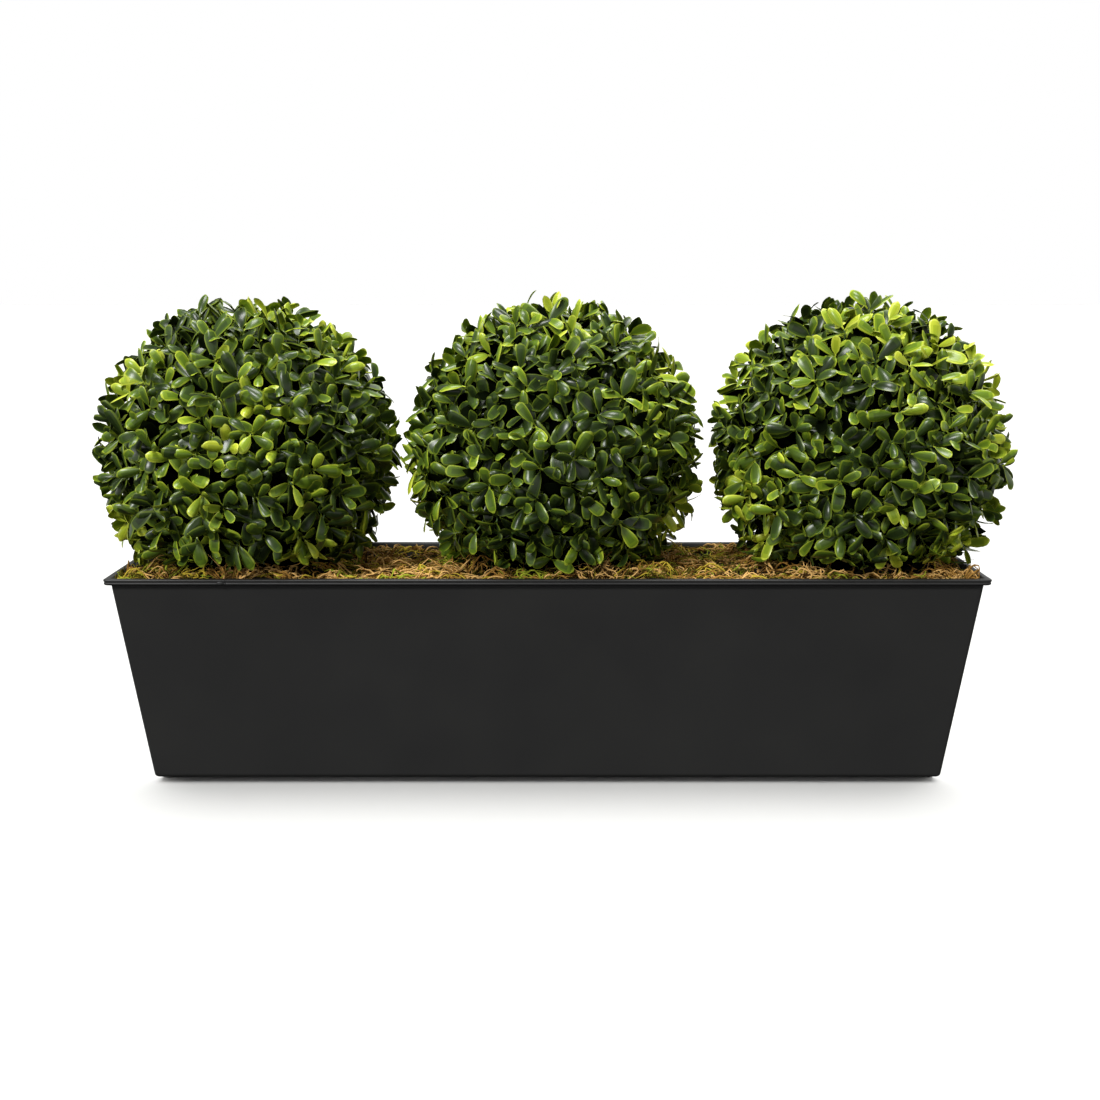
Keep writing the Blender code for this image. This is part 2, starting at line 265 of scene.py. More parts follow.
# Each softbox: strength, angular width in degrees, and the direction its light travels in.
SOFTBOXES = {
    "overhead_softbox": (3.15, 26, (0.10, 0.15, -1.0)),
    "front_softbox": (2.35, 12, (0.46, 0.70, -0.58)),
    "rear_softbox": (0.7, 40, (-0.30, -0.70, -0.60)),
    "narrow_floor_softbox": (14.0, 3.4, (0.0, 0.054, -1.0)),
    "wide_floor_softbox": (25.2, 58, (0.0, -0.34, -1.0)),
}
softboxes = {}
for softbox_name, (strength, width, towards) in SOFTBOXES.items():
    softbox = put_in_scene(softbox_name, bpy.data.lights.new(softbox_name, "SUN"))
    softbox.data.energy = strength
    softbox.data.angle = math.radians(width)
    softbox.rotation_euler = Vector(towards).to_track_quat("-Z", "Y").to_euler()
    softboxes[softbox_name] = softbox
print("softboxes:", sorted(softboxes))

# %% [markdown]
# The floor is a plain pale sweep, large enough that its far edge lies at the horizon. It is matt paper,
# so it has no gloss, and a very faint unevenness. The paper itself is grey and its two lights are
# strong, as in studios that want a pure white ground with a crisp shadow: the room's glow then does
# little on it. It sends no light back up, as the photo shows hardly any light from below.

# %% Floor
def light_group(name, piece, state):
    """A group for light linking that includes only this piece, or excludes only it."""
    group = bpy.data.collections.new(name)
    group.objects.link(piece)
    group.collection_objects[0].light_linking.link_state = state
    return group


def paper_material():
    """Matt grey seamless paper: with its own strong lights on it, the eye reads it as white."""
    material, tree, shader = new_material("matt_paper")
    place = add_node(tree, "ShaderNodeTexCoord")
    cloud = add_node(
        tree, "ShaderNodeTexNoise", {"Scale": 1 / (25 * MM)}, {"Vector": place.outputs["Object"]}
    )
    stops = ((0.0, "#595958"), (1.0, "#5a5a59"))
    tone = add_node(tree, "ShaderNodeValToRGB", {"stops": stops}, {"Fac": cloud.outputs["Fac"]})
    matt = {"Roughness": 1.0, "Specular IOR Level": 0.0}
    set_node(tree, shader, matt, {"Base Color": tone.outputs["Color"]})
    return material


matt_paper = paper_material()
FLOOR_HALF = 40.0
floor_mesh = bpy.data.meshes.new("floor")
floor_corners = [(x * FLOOR_HALF, y * FLOOR_HALF, 0) for x, y in ((-1, -1), (1, -1), (1, 1), (-1, 1))]
floor_mesh.from_pydata(floor_corners, [], [(0, 1, 2, 3)])
floor_mesh.materials.append(matt_paper)
floor = put_in_scene("floor", floor_mesh)
floor.visible_diffuse = False
floor.visible_glossy = False
all_but_floor = light_group("all_but_floor", floor, "EXCLUDE")
only_floor = light_group("only_floor", floor, "INCLUDE")
for softbox_name, softbox in softboxes.items():
    lit = only_floor if "floor" in softbox_name else all_but_floor
    softbox.light_linking.receiver_collection = lit
floor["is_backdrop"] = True
print("floor:", 2 * FLOOR_HALF, "m wide")

# %% [markdown]
# ## The planter
# The real trough is folded from sheet steel. Its walls lean outwards, its edges are bent tight, and the
# rim is rolled over into two thin beads. A box with bevelled edges would be quick to make, but its rim
# would be a piece apart. Here one section is carried round a rectangle with bent corners, as the sheet
# runs: from the underside, up the wall, over the rim and down to the floor inside. The solid has the same
# section with fewer steps, so this finer shell stands for it and adds the seam where the rolled rim's
# ends meet.

# %% Measures of the trough
RIM_LENGTH = 0.834
RIM_DEPTH = 0.225
TROUGH_HEIGHT = 0.2025
RIM_OVERHANG = 0.0055
RIM_DROP = 0.0058
WALL_TAPER = 0.028
SHEET = 0.0016
FLOOR_BEND = 0.0035
FLOOR_BEND_STEPS = 6
# The walls meet in a tight bend, and the rim runs round it in a wider one, by this share of its offset.
CORNER_RADIUS = 0.003
CORNER_SHARE = 0.3
CORNER_STEPS = 8
# The rim's sheet turns out under the beads at this offset, and each bead turns by this many degrees
# past the level to meet the other.
BEAD_START = 0.0008
BEAD_TURN = 50
BEAD_STEPS = 9
WALL_ROWS = 14
WALL_POINTS = 26
BEND_EDGE = 0.0015
low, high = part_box("planter")
print("planter node:", [round(high[k] - low[k], 4) for k in range(3)])


def arc(across, up, radius, start, end, steps):
    """Points along an arc about (across, up), between two angles in degrees."""
    points = []
    for step in range(steps + 1):
        angle = math.radians(start + (end - start) * step / steps)
        points.append((across + radius * math.cos(angle), up + radius * math.sin(angle)))
    return points


def body_halves(level):
    """Half length and half depth of the trough's outer wall at this height."""
    inset = RIM_OVERHANG + WALL_TAPER * (1 - level / TROUGH_HEIGHT)
    return RIM_LENGTH / 2 - inset, RIM_DEPTH / 2 - inset


# %% The trough's section
def wall_levels(lowest, highest):
    """Heights up a wall: close together beside the bends, evenly spread between them."""
    inner = np.linspace(lowest + BEND_EDGE, highest - BEND_EDGE, WALL_ROWS)
    return [float(level) for level in inner]


def trough_section():
    """(offset out from the outer wall, height) from the underside's edge over the rim to the floor."""
    top = TROUGH_HEIGHT
    under = top - RIM_DROP
    bead = RIM_DROP / 4
    bead_centre = RIM_OVERHANG - bead
    section = arc(-FLOOR_BEND, FLOOR_BEND, FLOOR_BEND, -90, 0, FLOOR_BEND_STEPS)
    section += [(0, level) for level in wall_levels(FLOOR_BEND, under)]
    section += [(0, under), (BEAD_START, under)]
    section += arc(bead_centre, under + bead, bead, -90, BEAD_TURN, BEAD_STEPS)
    section += arc(bead_centre, top - bead, bead, -BEAD_TURN, 90, BEAD_STEPS)
    section += [(0.0, top), (-SHEET / 2, top), (-SHEET, top - bead / 2)]
    section += [(-SHEET, level) for level in reversed(wall_levels(SHEET + FLOOR_BEND, under))]
    section += [(-SHEET, SHEET + FLOOR_BEND), (-SHEET - FLOOR_BEND, SHEET)]
    return section


print("points in the section:", len(trough_section()))

# %% The seam of the rim
SEAM_X = -0.3012
SEAM_WIDTH = 0.0011
SEAM_DEPTH = 0.0006
# Only the beads show it, which lie further out than this.
SEAM_START = 0.6 * RIM_OVERHANG


def side_shares(half, radius, seam):
    """Where the points of one straight side lie, from -half to half, with extra ones at the seam."""
    reach = half - radius
    inner = np.linspace(-reach + BEND_EDGE, reach - BEND_EDGE, WALL_POINTS)
    places = [float(x) for x in inner]
    if seam:
        places += [SEAM_X + SEAM_WIDTH * share for share in (-1, -0.5, 0, 0.5, 1)]
    return sorted(places)


def outline(half_x, half_y, radius, pinch):
    """Points anticlockwise round a rectangle with bent corners. The front side has the seam."""
    points = []
    for side_x, side_y, start in ((1, 1, 0), (-1, 1, 90), (-1, -1, 180), (1, -1, 270)):
        middle_x = side_x * (half_x - radius)
        middle_y = side_y * (half_y - radius)
        points += arc(middle_x, middle_y, radius, start, start + 90, CORNER_STEPS)
        if side_x == 1 and side_y == 1:
            points += [(-x, half_y) for x in side_shares(half_x, radius, False)]
        elif side_x == -1 and side_y == 1:
            points += [(-half_x, -y) for y in side_shares(half_y, radius, False)]
        elif side_x == -1:
            for x in side_shares(half_x, radius, True):
                away = abs(x - SEAM_X) / SEAM_WIDTH
                points.append((x, -half_y + pinch * max(0.0, 1 - 2 * away)))
        else:
            points += [(half_x, y) for y in side_shares(half_y, radius, False)]
    return points


rim_outline = outline(RIM_LENGTH / 2, RIM_DEPTH / 2, CORNER_RADIUS, SEAM_DEPTH)
print("points round the rim:", len(rim_outline))

# %% [markdown]
# The paint is satin black on steel: polyester powder coat, sprayed dry and baked. To the eye that is a
# deep neutral grey with a broad dull sheen, a very fine orange peel, and faint cloudy differences in
# gloss, 5 to 10 cm across. Noise gives all of this without an image. The real peel is about 0.3 mm
# across, which is too fine for the picture, so it is drawn at 2 mm. Such paint has an IOR of 1.5, and in
# satin its roughness is 0.4 to 0.5.

# %% Powder coat
def powder_coat():
    material, tree, shader = new_material("black_powder_coat")
    place = add_node(tree, "ShaderNodeTexCoord")
    where = place.outputs["Object"]
    clouds = add_node(
        tree,
        "ShaderNodeTexNoise",
        {"Scale": 1 / (90 * MM), "Detail": 3.0, "Roughness": 0.55},
        {"Vector": where},
    )
    stops = ((0.3, "#262626"), (0.7, "#292928"))
    tone = add_node(tree, "ShaderNodeValToRGB", {"stops": stops}, {"Fac": clouds.outputs["Fac"]})
    dull = add_node(
        tree,
        "ShaderNodeMapRange",
        {"From Min": 0.3, "From Max": 0.7, "To Min": 0.46, "To Max": 0.51},
        {"Value": clouds.outputs["Fac"]},
    )
    peel = add_node(
        tree, "ShaderNodeTexNoise", {"Scale": 1 / (2 * MM), "Detail": 2.0}, {"Vector": where}
    )
    relief = add_node(
        tree,
        "ShaderNodeBump",
        {"Strength": 0.12, "Distance": 0.2 * MM},
        {"Height": peel.outputs["Fac"]},
    )
    looks = {
        "Base Color": tone.outputs["Color"],
        "Roughness": dull.outputs["Result"],
        "Normal": relief.outputs["Normal"],
    }
    set_node(tree, shader, {"IOR": 1.5, "Specular IOR Level": 0.4}, looks)
    return material


coat = powder_coat()
print("coat:", coat.name)

# %% Make the shell
# A flat oval mark sits on the rim beside the seam, where the two ends are joined. Its edge is sunk behind
# the beads' front, and it is domed by its rise from there.
MARK_PLACE = (-0.3065, 0.1989)
MARK_SIZE = (0.0070, 0.0034)
MARK_RISE = 0.0007
MARK_SUNK = 0.0004
MARK_RINGS = (1.0, 0.92, 0.75, 0.5, 0.2)
MARK_SEGMENTS = 24


def add_mark(heap):
    """A shallow oval dome on the rim's front."""
    points = []
    for share in MARK_RINGS:
        y = -RIM_DEPTH / 2 + MARK_SUNK - MARK_RISE * math.sqrt(1 - share**2)
        for s in range(MARK_SEGMENTS):
            angle = 2 * math.pi * s / MARK_SEGMENTS
            x = MARK_PLACE[0] + share * MARK_SIZE[0] / 2 * math.cos(angle)
            z = MARK_PLACE[1] + share * MARK_SIZE[1] / 2 * math.sin(angle)
            points.append((x, y, z))
    heap.add(points, ring_faces(len(MARK_RINGS), MARK_SEGMENTS))
    heap.add(points[-MARK_SEGMENTS:], [list(range(MARK_SEGMENTS))])


def make_planter():
    heap = Heap()
    points = []
    section = trough_section()
    for offset, level in section:
        half_x, half_y = body_halves(level)
        radius = CORNER_RADIUS + offset * CORNER_SHARE
        pinch = SEAM_DEPTH if offset > SEAM_START else 0.0
        points += [(x, y, level) for x, y in outline(half_x + offset, half_y + offset, radius, pinch)]
    heap.add_rings(points, len(points) // len(section))
    add_mark(heap)
    heap.make("planter_shell", [coat], ["planter"], "painted_steel")


make_planter()

# %% [markdown]
# In the photo the floor is shaded in front of the planter and hardly at its ends. Real sets get this
# with a card that holds the light back. Here two cards stand inside the filling, one along each long
# wall and a little shorter than it. They are part of the set, not of the planter, and nothing but them
# stops the two lights of the floor.

# %% Shadow cards
CARD_HALF_LENGTH = 0.376
CARD_FOOT = (0.0752, 0.0004)
CARD_TOP = (0.1040, 0.185)


def shadow_cards():
    """Two thin upright cards inside the trough, leaning outwards as its walls do."""
    points = []
    for side in (-1, 1):
        for along, (away, level) in ((-1, CARD_FOOT), (1, CARD_FOOT), (1, CARD_TOP), (-1, CARD_TOP)):
            points.append((along * CARD_HALF_LENGTH, side * away, level))
    mesh = bpy.data.meshes.new("shadow_cards")
    mesh.from_pydata(points, [], [(0, 1, 2, 3), (7, 6, 5, 4)])
    mesh.materials.append(matt_paper)
    cards = put_in_scene("shadow_cards", mesh)
    cards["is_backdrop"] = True
    return cards


shades_floor = light_group("shades_floor", shadow_cards(), "INCLUDE")
for softbox_name, softbox in softboxes.items():
    if "floor" in softbox_name:
        softbox.light_linking.blocker_collection = shades_floor
print("cards reach from z =", CARD_FOOT[1], "to", CARD_TOP[1])

# %% [markdown]
# ## The moss
# The trough is filled, and dried moss is laid on the filling and pushed up round each ball. A flat bed
# with a picture of moss would do from above, but from the side the moss shows by its height. So it is
# made in layers: this ground first, then stalks, threads and tufts. The ground follows the solid's rule:
# level at the wall, mounded where it meets a ball, with a soft ripple. Lumps of moss are added as noise,
# and a low bank where the moss is pushed up along the front wall and the back one. Under each ball it
# dips, so that the ball sits in it, and at each stem there is a seat.

# %% The moss surface's rule
BALL_NAMES = ("left", "middle", "right")
BALL_PITCH = 0.302
ROW_SHIFT = 0.006
BALL_HEIGHT = 0.311
CORE_RADIUS = 0.135
MOSS_LEVEL = 0.1975
MOSS_MOUND = 0.0085
MOUND_WIDTH = 0.045
RIPPLE = 0.002
EDGE_DROP = 0.0035
EDGE_BAND = 0.030
GAP = 0.0003
CENTRES = [Vector((ROW_SHIFT + (k - 1) * BALL_PITCH, 0, BALL_HEIGHT)) for k in range(3)]
MOUTH_X, MOUTH_Y = body_halves(TROUGH_HEIGHT)


def moss_height(x, y):
    """The moss's height by the source's rule, for single values or arrays."""
    where_balls_enter = math.sqrt(CORE_RADIUS**2 - (BALL_HEIGHT - MOSS_LEVEL) ** 2)
    mound = 0.0
    for centre in CENTRES:
        away = np.hypot(x - centre.x, y) - where_balls_enter
        mound = np.maximum(mound, MOSS_MOUND * np.exp(-((away / MOUND_WIDTH) ** 2)))
    # The ripple's waves are those of the source.
    wave = np.sin(71 * x + 1) * np.cos(58 * y) + np.sin(90 * x - 64 * y) / 2
    to_wall = np.maximum(0.0, np.minimum(MOUTH_X - abs(x), MOUTH_Y - abs(y)))
    inner = np.minimum(1.0, to_wall / EDGE_BAND)
    return MOSS_LEVEL - EDGE_DROP * (1 - inner) + inner * (mound + RIPPLE * wave)


print("moss before the middle ball:", round(float(moss_height(ROW_SHIFT, -0.09)), 4))

# %% Lumps, pockets and seats
POCKET_RADIUS = 0.1215
POCKET_GAP = 0.001
SEAT_RADIUS = 0.015
SEAT_FLOOR = BALL_HEIGHT - CORE_RADIUS - 0.004
# The ground lies this far below the source's surface, as stalks and tufts are heaped on it.
GROUND_DROP = 0.0052
# The lumps come in three kinds, each with a width and a height, from a layer of the noise of its own.
LUMPS = ((0.024, 0.0040), (0.010, 0.0030), (0.0050, 0.0014))
LUMP_LAYERS = 900
# Each bank: its height, how far from the middle it starts, and how wide its slope is.
FRONT_BANK, FRONT_START, FRONT_SLOPE = 0.0078, 0.080, 0.018
REAR_BANK, REAR_START, REAR_SLOPE = 0.0042, 0.050, 0.035
# Along the wall a bank has this share of its height, and up to so much more or less, in waves.
BANK_SHARE, BANK_CHANGE = 0.8, 0.9
WAVES_ALONG_WALL = 24


def climb(place, start, slope):
    """How far up a slope a place is: 0 before its start, 1 past its end."""
    return max(0.0, min(1.0, (place - start) / slope))


def lumps(x, y):
    """The height of all lumps together at this place."""
    return sum(
        rise * noise.noise(Vector((x / wide, y / wide, wide * LUMP_LAYERS))) for wide, rise in LUMPS
    )


def bank(x, y):
    """How much higher the moss is along the front wall and the back wall. It varies along the wall."""
    front = FRONT_BANK * climb(-y, FRONT_START, FRONT_SLOPE)
    rear = REAR_BANK * climb(y, REAR_START, REAR_SLOPE)
    wave = noise.noise(Vector((x * WAVES_ALONG_WALL, 7.0, 2.0)))
    return (front + rear) * (BANK_SHARE + BANK_CHANGE * wave)


def ground_height(x, y):
    """The moss ground with its lumps, lowered under each ball and at each stem."""
    z = float(moss_height(x, y)) - GROUND_DROP + lumps(x, y) + bank(x, y)
    for centre in CENTRES:
        away = math.hypot(x - centre.x, y)
        if away < SEAT_RADIUS:
            return SEAT_FLOOR
        if away < POCKET_RADIUS:
            z = min(z, BALL_HEIGHT - math.sqrt(POCKET_RADIUS**2 - away**2) - POCKET_GAP)
    return z


print("ground before the middle ball:", round(ground_height(ROW_SHIFT, -0.09), 4))


# %% [markdown]
# Dried sheet moss is a mat of brown stalks and crumbs with green growth on top. To the eye it is matt,
# mottled in patches of one to two centimetres, from dark earth brown to dull olive, with no shine at
# all: dry plants have an IOR of about 1.45 and a roughness near 1. The real crumb is about 1 mm across
# and is drawn at 1.6 mm, so that it shows, in the colour and as a bump. The ground's tones are kept near
# black, which is partly painted shade for the depth of the mat under the stalks.

# %% Dried moss
def dried_moss_with_painted_shade():
    material, tree, shader = new_material("dried_moss_painted_shade_mat")
    place = add_node(tree, "ShaderNodeTexCoord")
    where = place.outputs["Object"]
    patches = add_node(
        tree, "ShaderNodeTexNoise", {"Scale": 1 / (14 * MM), "Detail": 4.0}, {"Vector": where}
    )
    crumbs = add_node(
        tree, "ShaderNodeTexNoise", {"Scale": 1 / (1.6 * MM), "Detail": 3.0}, {"Vector": where}
    )
    # Near black to dark olive: partly the moss's own brown and partly painted shade for the deep mat.
    stops = ((0.34, "#090602"), (0.5, "#181105"), (0.66, "#29280b"))
    tone = add_node(tree, "ShaderNodeValToRGB", {"stops": stops}, {"Fac": patches.outputs["Fac"]})
    stops = ((0.40, "#5c5c5c"), (0.62, "#ffffff"))
    spots = add_node(tree, "ShaderNodeValToRGB", {"stops": stops}, {"Fac": crumbs.outputs["Fac"]})
    # A mix node's sockets go by number: 0 is the share, and 6 and 7 are its two colours.
    mottled = add_node(
        tree,
        "ShaderNodeMix",
        {"data_type": "RGBA", "blend_type": "MULTIPLY", 0: 1.0},
        {6: tone.outputs["Color"], 7: spots.outputs["Color"]},
    )
    relief = add_node(
        tree,
        "ShaderNodeBump",
        {"Strength": 0.8, "Distance": 0.8 * MM},
        {"Height": crumbs.outputs["Fac"]},
    )
    dry = add_node(
        tree,
        "ShaderNodeMapRange",
        {"From Min": 0.3, "From Max": 0.7, "To Min": 0.85, "To Max": 1.0},
        {"Value": crumbs.outputs["Fac"]},
    )
    looks = {
        "Base Color": mottled.outputs[2],
        "Roughness": dry.outputs["Result"],
        "Normal": relief.outputs["Normal"],
    }
    set_node(tree, shader, {"IOR": 1.45}, looks)
    return material


moss_ground_shade_mat = dried_moss_with_painted_shade()
print("moss mat:", moss_ground_shade_mat.name)

# %% Make the moss ground
GROUND_CELLS_X = 250
GROUND_CELLS_Y = 64
BED_FOOT = SHEET + GAP + FLOOR_BEND


def bed_halves(level):
    """Half length and half depth of the bed at this height, a gap inside the trough's wall."""
    half_x, half_y = body_halves(level)
    return half_x - SHEET - GAP, half_y - SHEET - GAP


def make_ground():
    heap = Heap()
    top_x, top_y = bed_halves(MOSS_LEVEL - EDGE_DROP)
    columns, rows = GROUND_CELLS_X + 1, GROUND_CELLS_Y + 1
    points = []
    for j in range(rows):
        for i in range(columns):
            x = top_x * (2 * i / GROUND_CELLS_X - 1)
            y = top_y * (2 * j / GROUND_CELLS_Y - 1)
            points.append((x, y, ground_height(x, y)))
    faces = [
        (j * columns + i, j * columns + i + 1, (j + 1) * columns + i + 1, (j + 1) * columns + i)
        for j in range(rows - 1)
        for i in range(columns - 1)
    ]
    rim = list(range(columns))
    rim += [j * columns + columns - 1 for j in range(1, rows)]
    rim += [(rows - 1) * columns + i for i in range(columns - 2, -1, -1)]
    rim += [j * columns for j in range(rows - 2, 0, -1)]
    foot_x, foot_y = bed_halves(BED_FOOT)
    first = len(points)
    for k in rim:
        x, y, _ = points[k]
        points.append((x * foot_x / top_x, y * foot_y / top_y, BED_FOOT))
    for place, k in enumerate(rim):
        after = (place + 1) % len(rim)
        faces.append((k, first + place, first + after, rim[after]))
    heap.add(points, faces)
    heap.add_face(list(range(first, first + len(rim))))
    heap.make("moss_ground", [moss_ground_shade_mat], ["moss_bed"], "moss")


make_ground()

# %% [markdown]
# On top lie curled stalks of dried moss, tan to brown and mostly forked, and finer olive and green
# threads. Each is a thin tube that follows a curling path over the ground: four-sided for a stalk and
# three-sided for a thread. They lie only where moss shows: in front, behind, between the balls and at
# the ends. Blender's hair could grow such stalks too, but hair is made of curves, and plain meshes can be
# read by any program. Which colours a place gets is decided by a slow noise, so the moss has tan and
# green patches. Each stalk has one plain colour, because a pattern on such thin tubes would be lost when
# the model is exported.

# %% Stalk colours
STALK_COLOURS = (
    ("dry_stalk_pale", "#d9ae69"),
    ("dry_stalk_tan", "#9b7335"),
    ("dry_stalk_brown", "#3f2a0c"),
    ("moss_thread_straw", "#b8a236"),
    ("moss_thread_olive", "#4e4711"),
    ("moss_thread_green", "#98a22e"),
)
# How common each colour is, for thick stalks and for thin ones, where the moss is tan and where green.
THICK_MIX = ((0.52, 0.34, 0.05, 0.05, 0.02, 0.02), (0.14, 0.16, 0.05, 0.28, 0.17, 0.20))
THIN_MIX = ((0.12, 0.24, 0.34, 0.10, 0.15, 0.05), (0.03, 0.05, 0.15, 0.22, 0.30, 0.25))
STALK_ROUGHNESS = 0.9
STALK_IOR = 1.45
STALK_GLOSS = 0.15
stalk_materials = []
for stalk_name, stalk_colour in STALK_COLOURS:
    stalk_materials.append(
        plain_material(stalk_name, stalk_colour, STALK_ROUGHNESS, STALK_IOR, STALK_GLOSS)
    )
moss_dice = random.Random(5)
# How fast the tan and green patches follow each other, how far they differ, and which wins on the whole.
PATCH_PACE, PATCH_CONTRAST, PATCH_LEVEL = 28, 1.7, 0.26
# Beyond this place towards each end the moss turns greener on the left and browner on the right.
END_START = 0.35
LEFT_SLOPE, RIGHT_SLOPE = 0.03, 0.04
FRONT_GREEN, FRONT_GREEN_SLOPE = 0.30, 0.015


def green_share(x, y):
    """How green the moss is here, from 0 to 1: greener at the left end and in front, less at the right."""
    patch = noise.noise(Vector((x * PATCH_PACE, y * PATCH_PACE, 4.0))) * PATCH_CONTRAST + PATCH_LEVEL
    left_end = max(0.0, (-END_START - x) / LEFT_SLOPE)
    right_end = max(0.0, (x - END_START) / RIGHT_SLOPE)
    front = FRONT_GREEN * climb(-y, FRONT_START, FRONT_GREEN_SLOPE)
    return min(1.0, max(0.0, patch + left_end - right_end + front))


def stalk_zone(x, y, mixes):
    """Picks a colour number for a stalk at this place."""
    share = green_share(x, y)
    weights = [tan * (1 - share) + green * share for tan, green in zip(*mixes)]
    return moss_dice.choices(range(len(weights)), weights)[0]


print("green at the left end:", round(green_share(-0.39, -0.08), 2))


# %% Tubes
def add_tube(heap, path, radii, sides, zone):
    """Adds a closed thin tube along a path. Its frame is carried along, so it doesn't twist."""
    ahead = (path[1] - path[0]).normalized()
    across = ahead.orthogonal().normalized()
    points = []
    for k, point in enumerate(path):
        after = path[min(k + 1, len(path) - 1)]
        before = path[max(k - 1, 0)]
        ahead = (after - before).normalized()
        across = (across - ahead * across.dot(ahead)).normalized()
        beside = ahead.cross(across)
        for s in range(sides):
            angle = 2 * math.pi * s / sides
            points.append(point + (across * math.cos(angle) + beside * math.sin(angle)) * radii[k])
    heap.add_rings(points, sides, zone)


def inside_mouth(x, y, margin):
    """The place drawn in, where needed, to stay this far inside the trough's wall."""
    reach_x = MOUTH_X - SHEET - margin
    reach_y = MOUTH_Y - SHEET - margin
    return max(-reach_x, min(reach_x, x)), max(-reach_y, min(reach_y, y))


# Stalks start a little in the ground or lie up to 3 mm above it, on others.
LIE = (-0.0005, 0.0030)
# How far a path's wandering swings over its length, in radians.
WANDER_SWING = 5


def curl(x, y, heading, length, steps, bend, lift, has_free_tip, margin):
    """A curling path over the ground, this far inside the wall. A free tip ends in the air."""
    turn = moss_dice.uniform(-bend, bend)
    wander = moss_dice.uniform(-bend, bend)
    foot = moss_dice.uniform(*LIE)
    arch = math.pi * (0.5 if has_free_tip else 1.0)
    path = []
    for k in range(steps + 1):
        share = k / steps
        x, y = inside_mouth(x, y, margin)
        path.append(Vector((x, y, ground_height(x, y) + foot + lift * math.sin(arch * share))))
        heading += (turn + wander * math.sin(share * WANDER_SWING)) / steps
        x += math.cos(heading) * length / steps
        y += math.sin(heading) * length / steps
    return path


# %% Where moss shows
# Nearer to a ball's axis than this, the ball hides the moss.
HIDDEN_RADIUS = 0.092
WALL_MARGIN = 0.002


def shown_place():
    """A random place on the moss that the balls don't cover."""
    while True:
        x = moss_dice.uniform(-1, 1) * (MOUTH_X - SHEET - WALL_MARGIN)
        y = moss_dice.uniform(-1, 1) * (MOUTH_Y - SHEET - WALL_MARGIN)
        if all(math.hypot(x - centre.x, y) > HIDDEN_RADIUS for centre in CENTRES):
            return x, y


hidden_area = len(CENTRES) * math.pi * HIDDEN_RADIUS**2
print("share of the moss that shows:", round(1 - hidden_area / (4 * MOUTH_X * MOUTH_Y), 2))

# %% Clumps
# Where the photo shows the moss heaped up most: place, reach, and height. The others are random.
CLUMPS = [
    (0.046, -0.092, 0.015, 0.026),
    (0.068, -0.094, 0.013, 0.019),
    (-0.006, -0.099, 0.015, 0.012),
    (-0.036, -0.099, 0.015, 0.013),
    (0.098, -0.090, 0.013, 0.020),
    (0.126, -0.082, 0.013, 0.021),
    (0.116, -0.066, 0.013, 0.020),
    (0.126, 0.088, 0.012, 0.015),
    (0.176, -0.052, 0.014, 0.014),
    (-0.152, -0.066, 0.016, 0.015),
    (-0.128, -0.084, 0.014, 0.014),
    (-0.170, 0.020, 0.016, 0.013),
    (-0.236, -0.100, 0.012, 0.012),
    (0.244, -0.098, 0.012, 0.012),
    (-0.392, -0.070, 0.014, 0.009),
    (0.390, -0.082, 0.014, 0.017),
    (0.394, -0.048, 0.015, 0.018),
    (0.394, -0.014, 0.014, 0.015),
    (-0.366, -0.090, 0.010, 0.017),
    (-0.301, -0.101, 0.008, 0.018),
]
RANDOM_CLUMPS = 64
RANDOM_REACH = (0.007, 0.015)
RANDOM_HEIGHT = (0.009, 0.018)
# How high clumps are in the middle of the trough's depth and at the back, and how fast that changes.
MIDDLE_SHARE, BACK_SHARE, SHARE_DEPTH = 0.65, 0.35, 0.12


def front_share(y):
    """Clumps are lower towards the back, where the photo shows the rim behind the moss."""
    return min(1.0, max(BACK_SHARE, MIDDLE_SHARE - y / SHARE_DEPTH))


for _ in range(RANDOM_CLUMPS):
    clump_x, clump_y = shown_place()
    clump_reach = moss_dice.uniform(*RANDOM_REACH)
    clump_height = moss_dice.uniform(*RANDOM_HEIGHT) * front_share(clump_y)
    CLUMPS.append((clump_x, clump_y, clump_reach, clump_height))
print("clumps of stalks:", len(CLUMPS))

# %% Where stalks start
# Of all stalks this share lies in a clump, and this share in the strip along the front wall.
CLUMPED_SHARE = 0.55
STRIP_SHARE = 0.15
STRIP_WIDTH = 0.016
STRIP_LIFT = (0.002, 0.009)
LOOSE_LIFT = 0.005
CLUMP_LIFT = (0.35, 1.0)
# How far, in radians, a heading strays from a clump's spokes and from the front wall's line.
CLUMP_FAN, STRIP_FAN = 1.6, 0.9
# The shares of stalks whose tip is free, in clumps and elsewhere.
CLUMP_FREE, LOOSE_FREE = 0.45, 0.4
THICK_MARGIN = 0.0036
THIN_MARGIN = 0.0022


def stalk_start():
    """Where a stalk starts, its heading, how far it lifts, and whether its tip is free."""
    if moss_dice.random() < CLUMPED_SHARE:
        x, y, reach, height = moss_dice.choice(CLUMPS)
        away = reach * moss_dice.random()
        heading = moss_dice.uniform(0, 2 * math.pi)
        x += away * math.cos(heading)
        y += away * math.sin(heading)
        heading += moss_dice.uniform(-CLUMP_FAN, CLUMP_FAN)
        lift = height * moss_dice.uniform(*CLUMP_LIFT)
        return x, y, heading, lift, moss_dice.random() < CLUMP_FREE
    if moss_dice.random() < STRIP_SHARE / (1 - CLUMPED_SHARE):
        x = moss_dice.uniform(-1, 1) * (MOUTH_X - SHEET - THICK_MARGIN)
        y = -MOUTH_Y + SHEET + THICK_MARGIN + STRIP_WIDTH * moss_dice.random()
        heading = moss_dice.choice((0, math.pi)) + moss_dice.uniform(-STRIP_FAN, STRIP_FAN)
        return x, y, heading, moss_dice.uniform(*STRIP_LIFT), moss_dice.random() < LOOSE_FREE
    x, y = shown_place()
    heading = moss_dice.uniform(0, 2 * math.pi)
    return x, y, heading, LOOSE_LIFT * moss_dice.random(), moss_dice.random() < LOOSE_FREE


print("share of stalks that lie loose:", round(1 - CLUMPED_SHARE - STRIP_SHARE, 2))

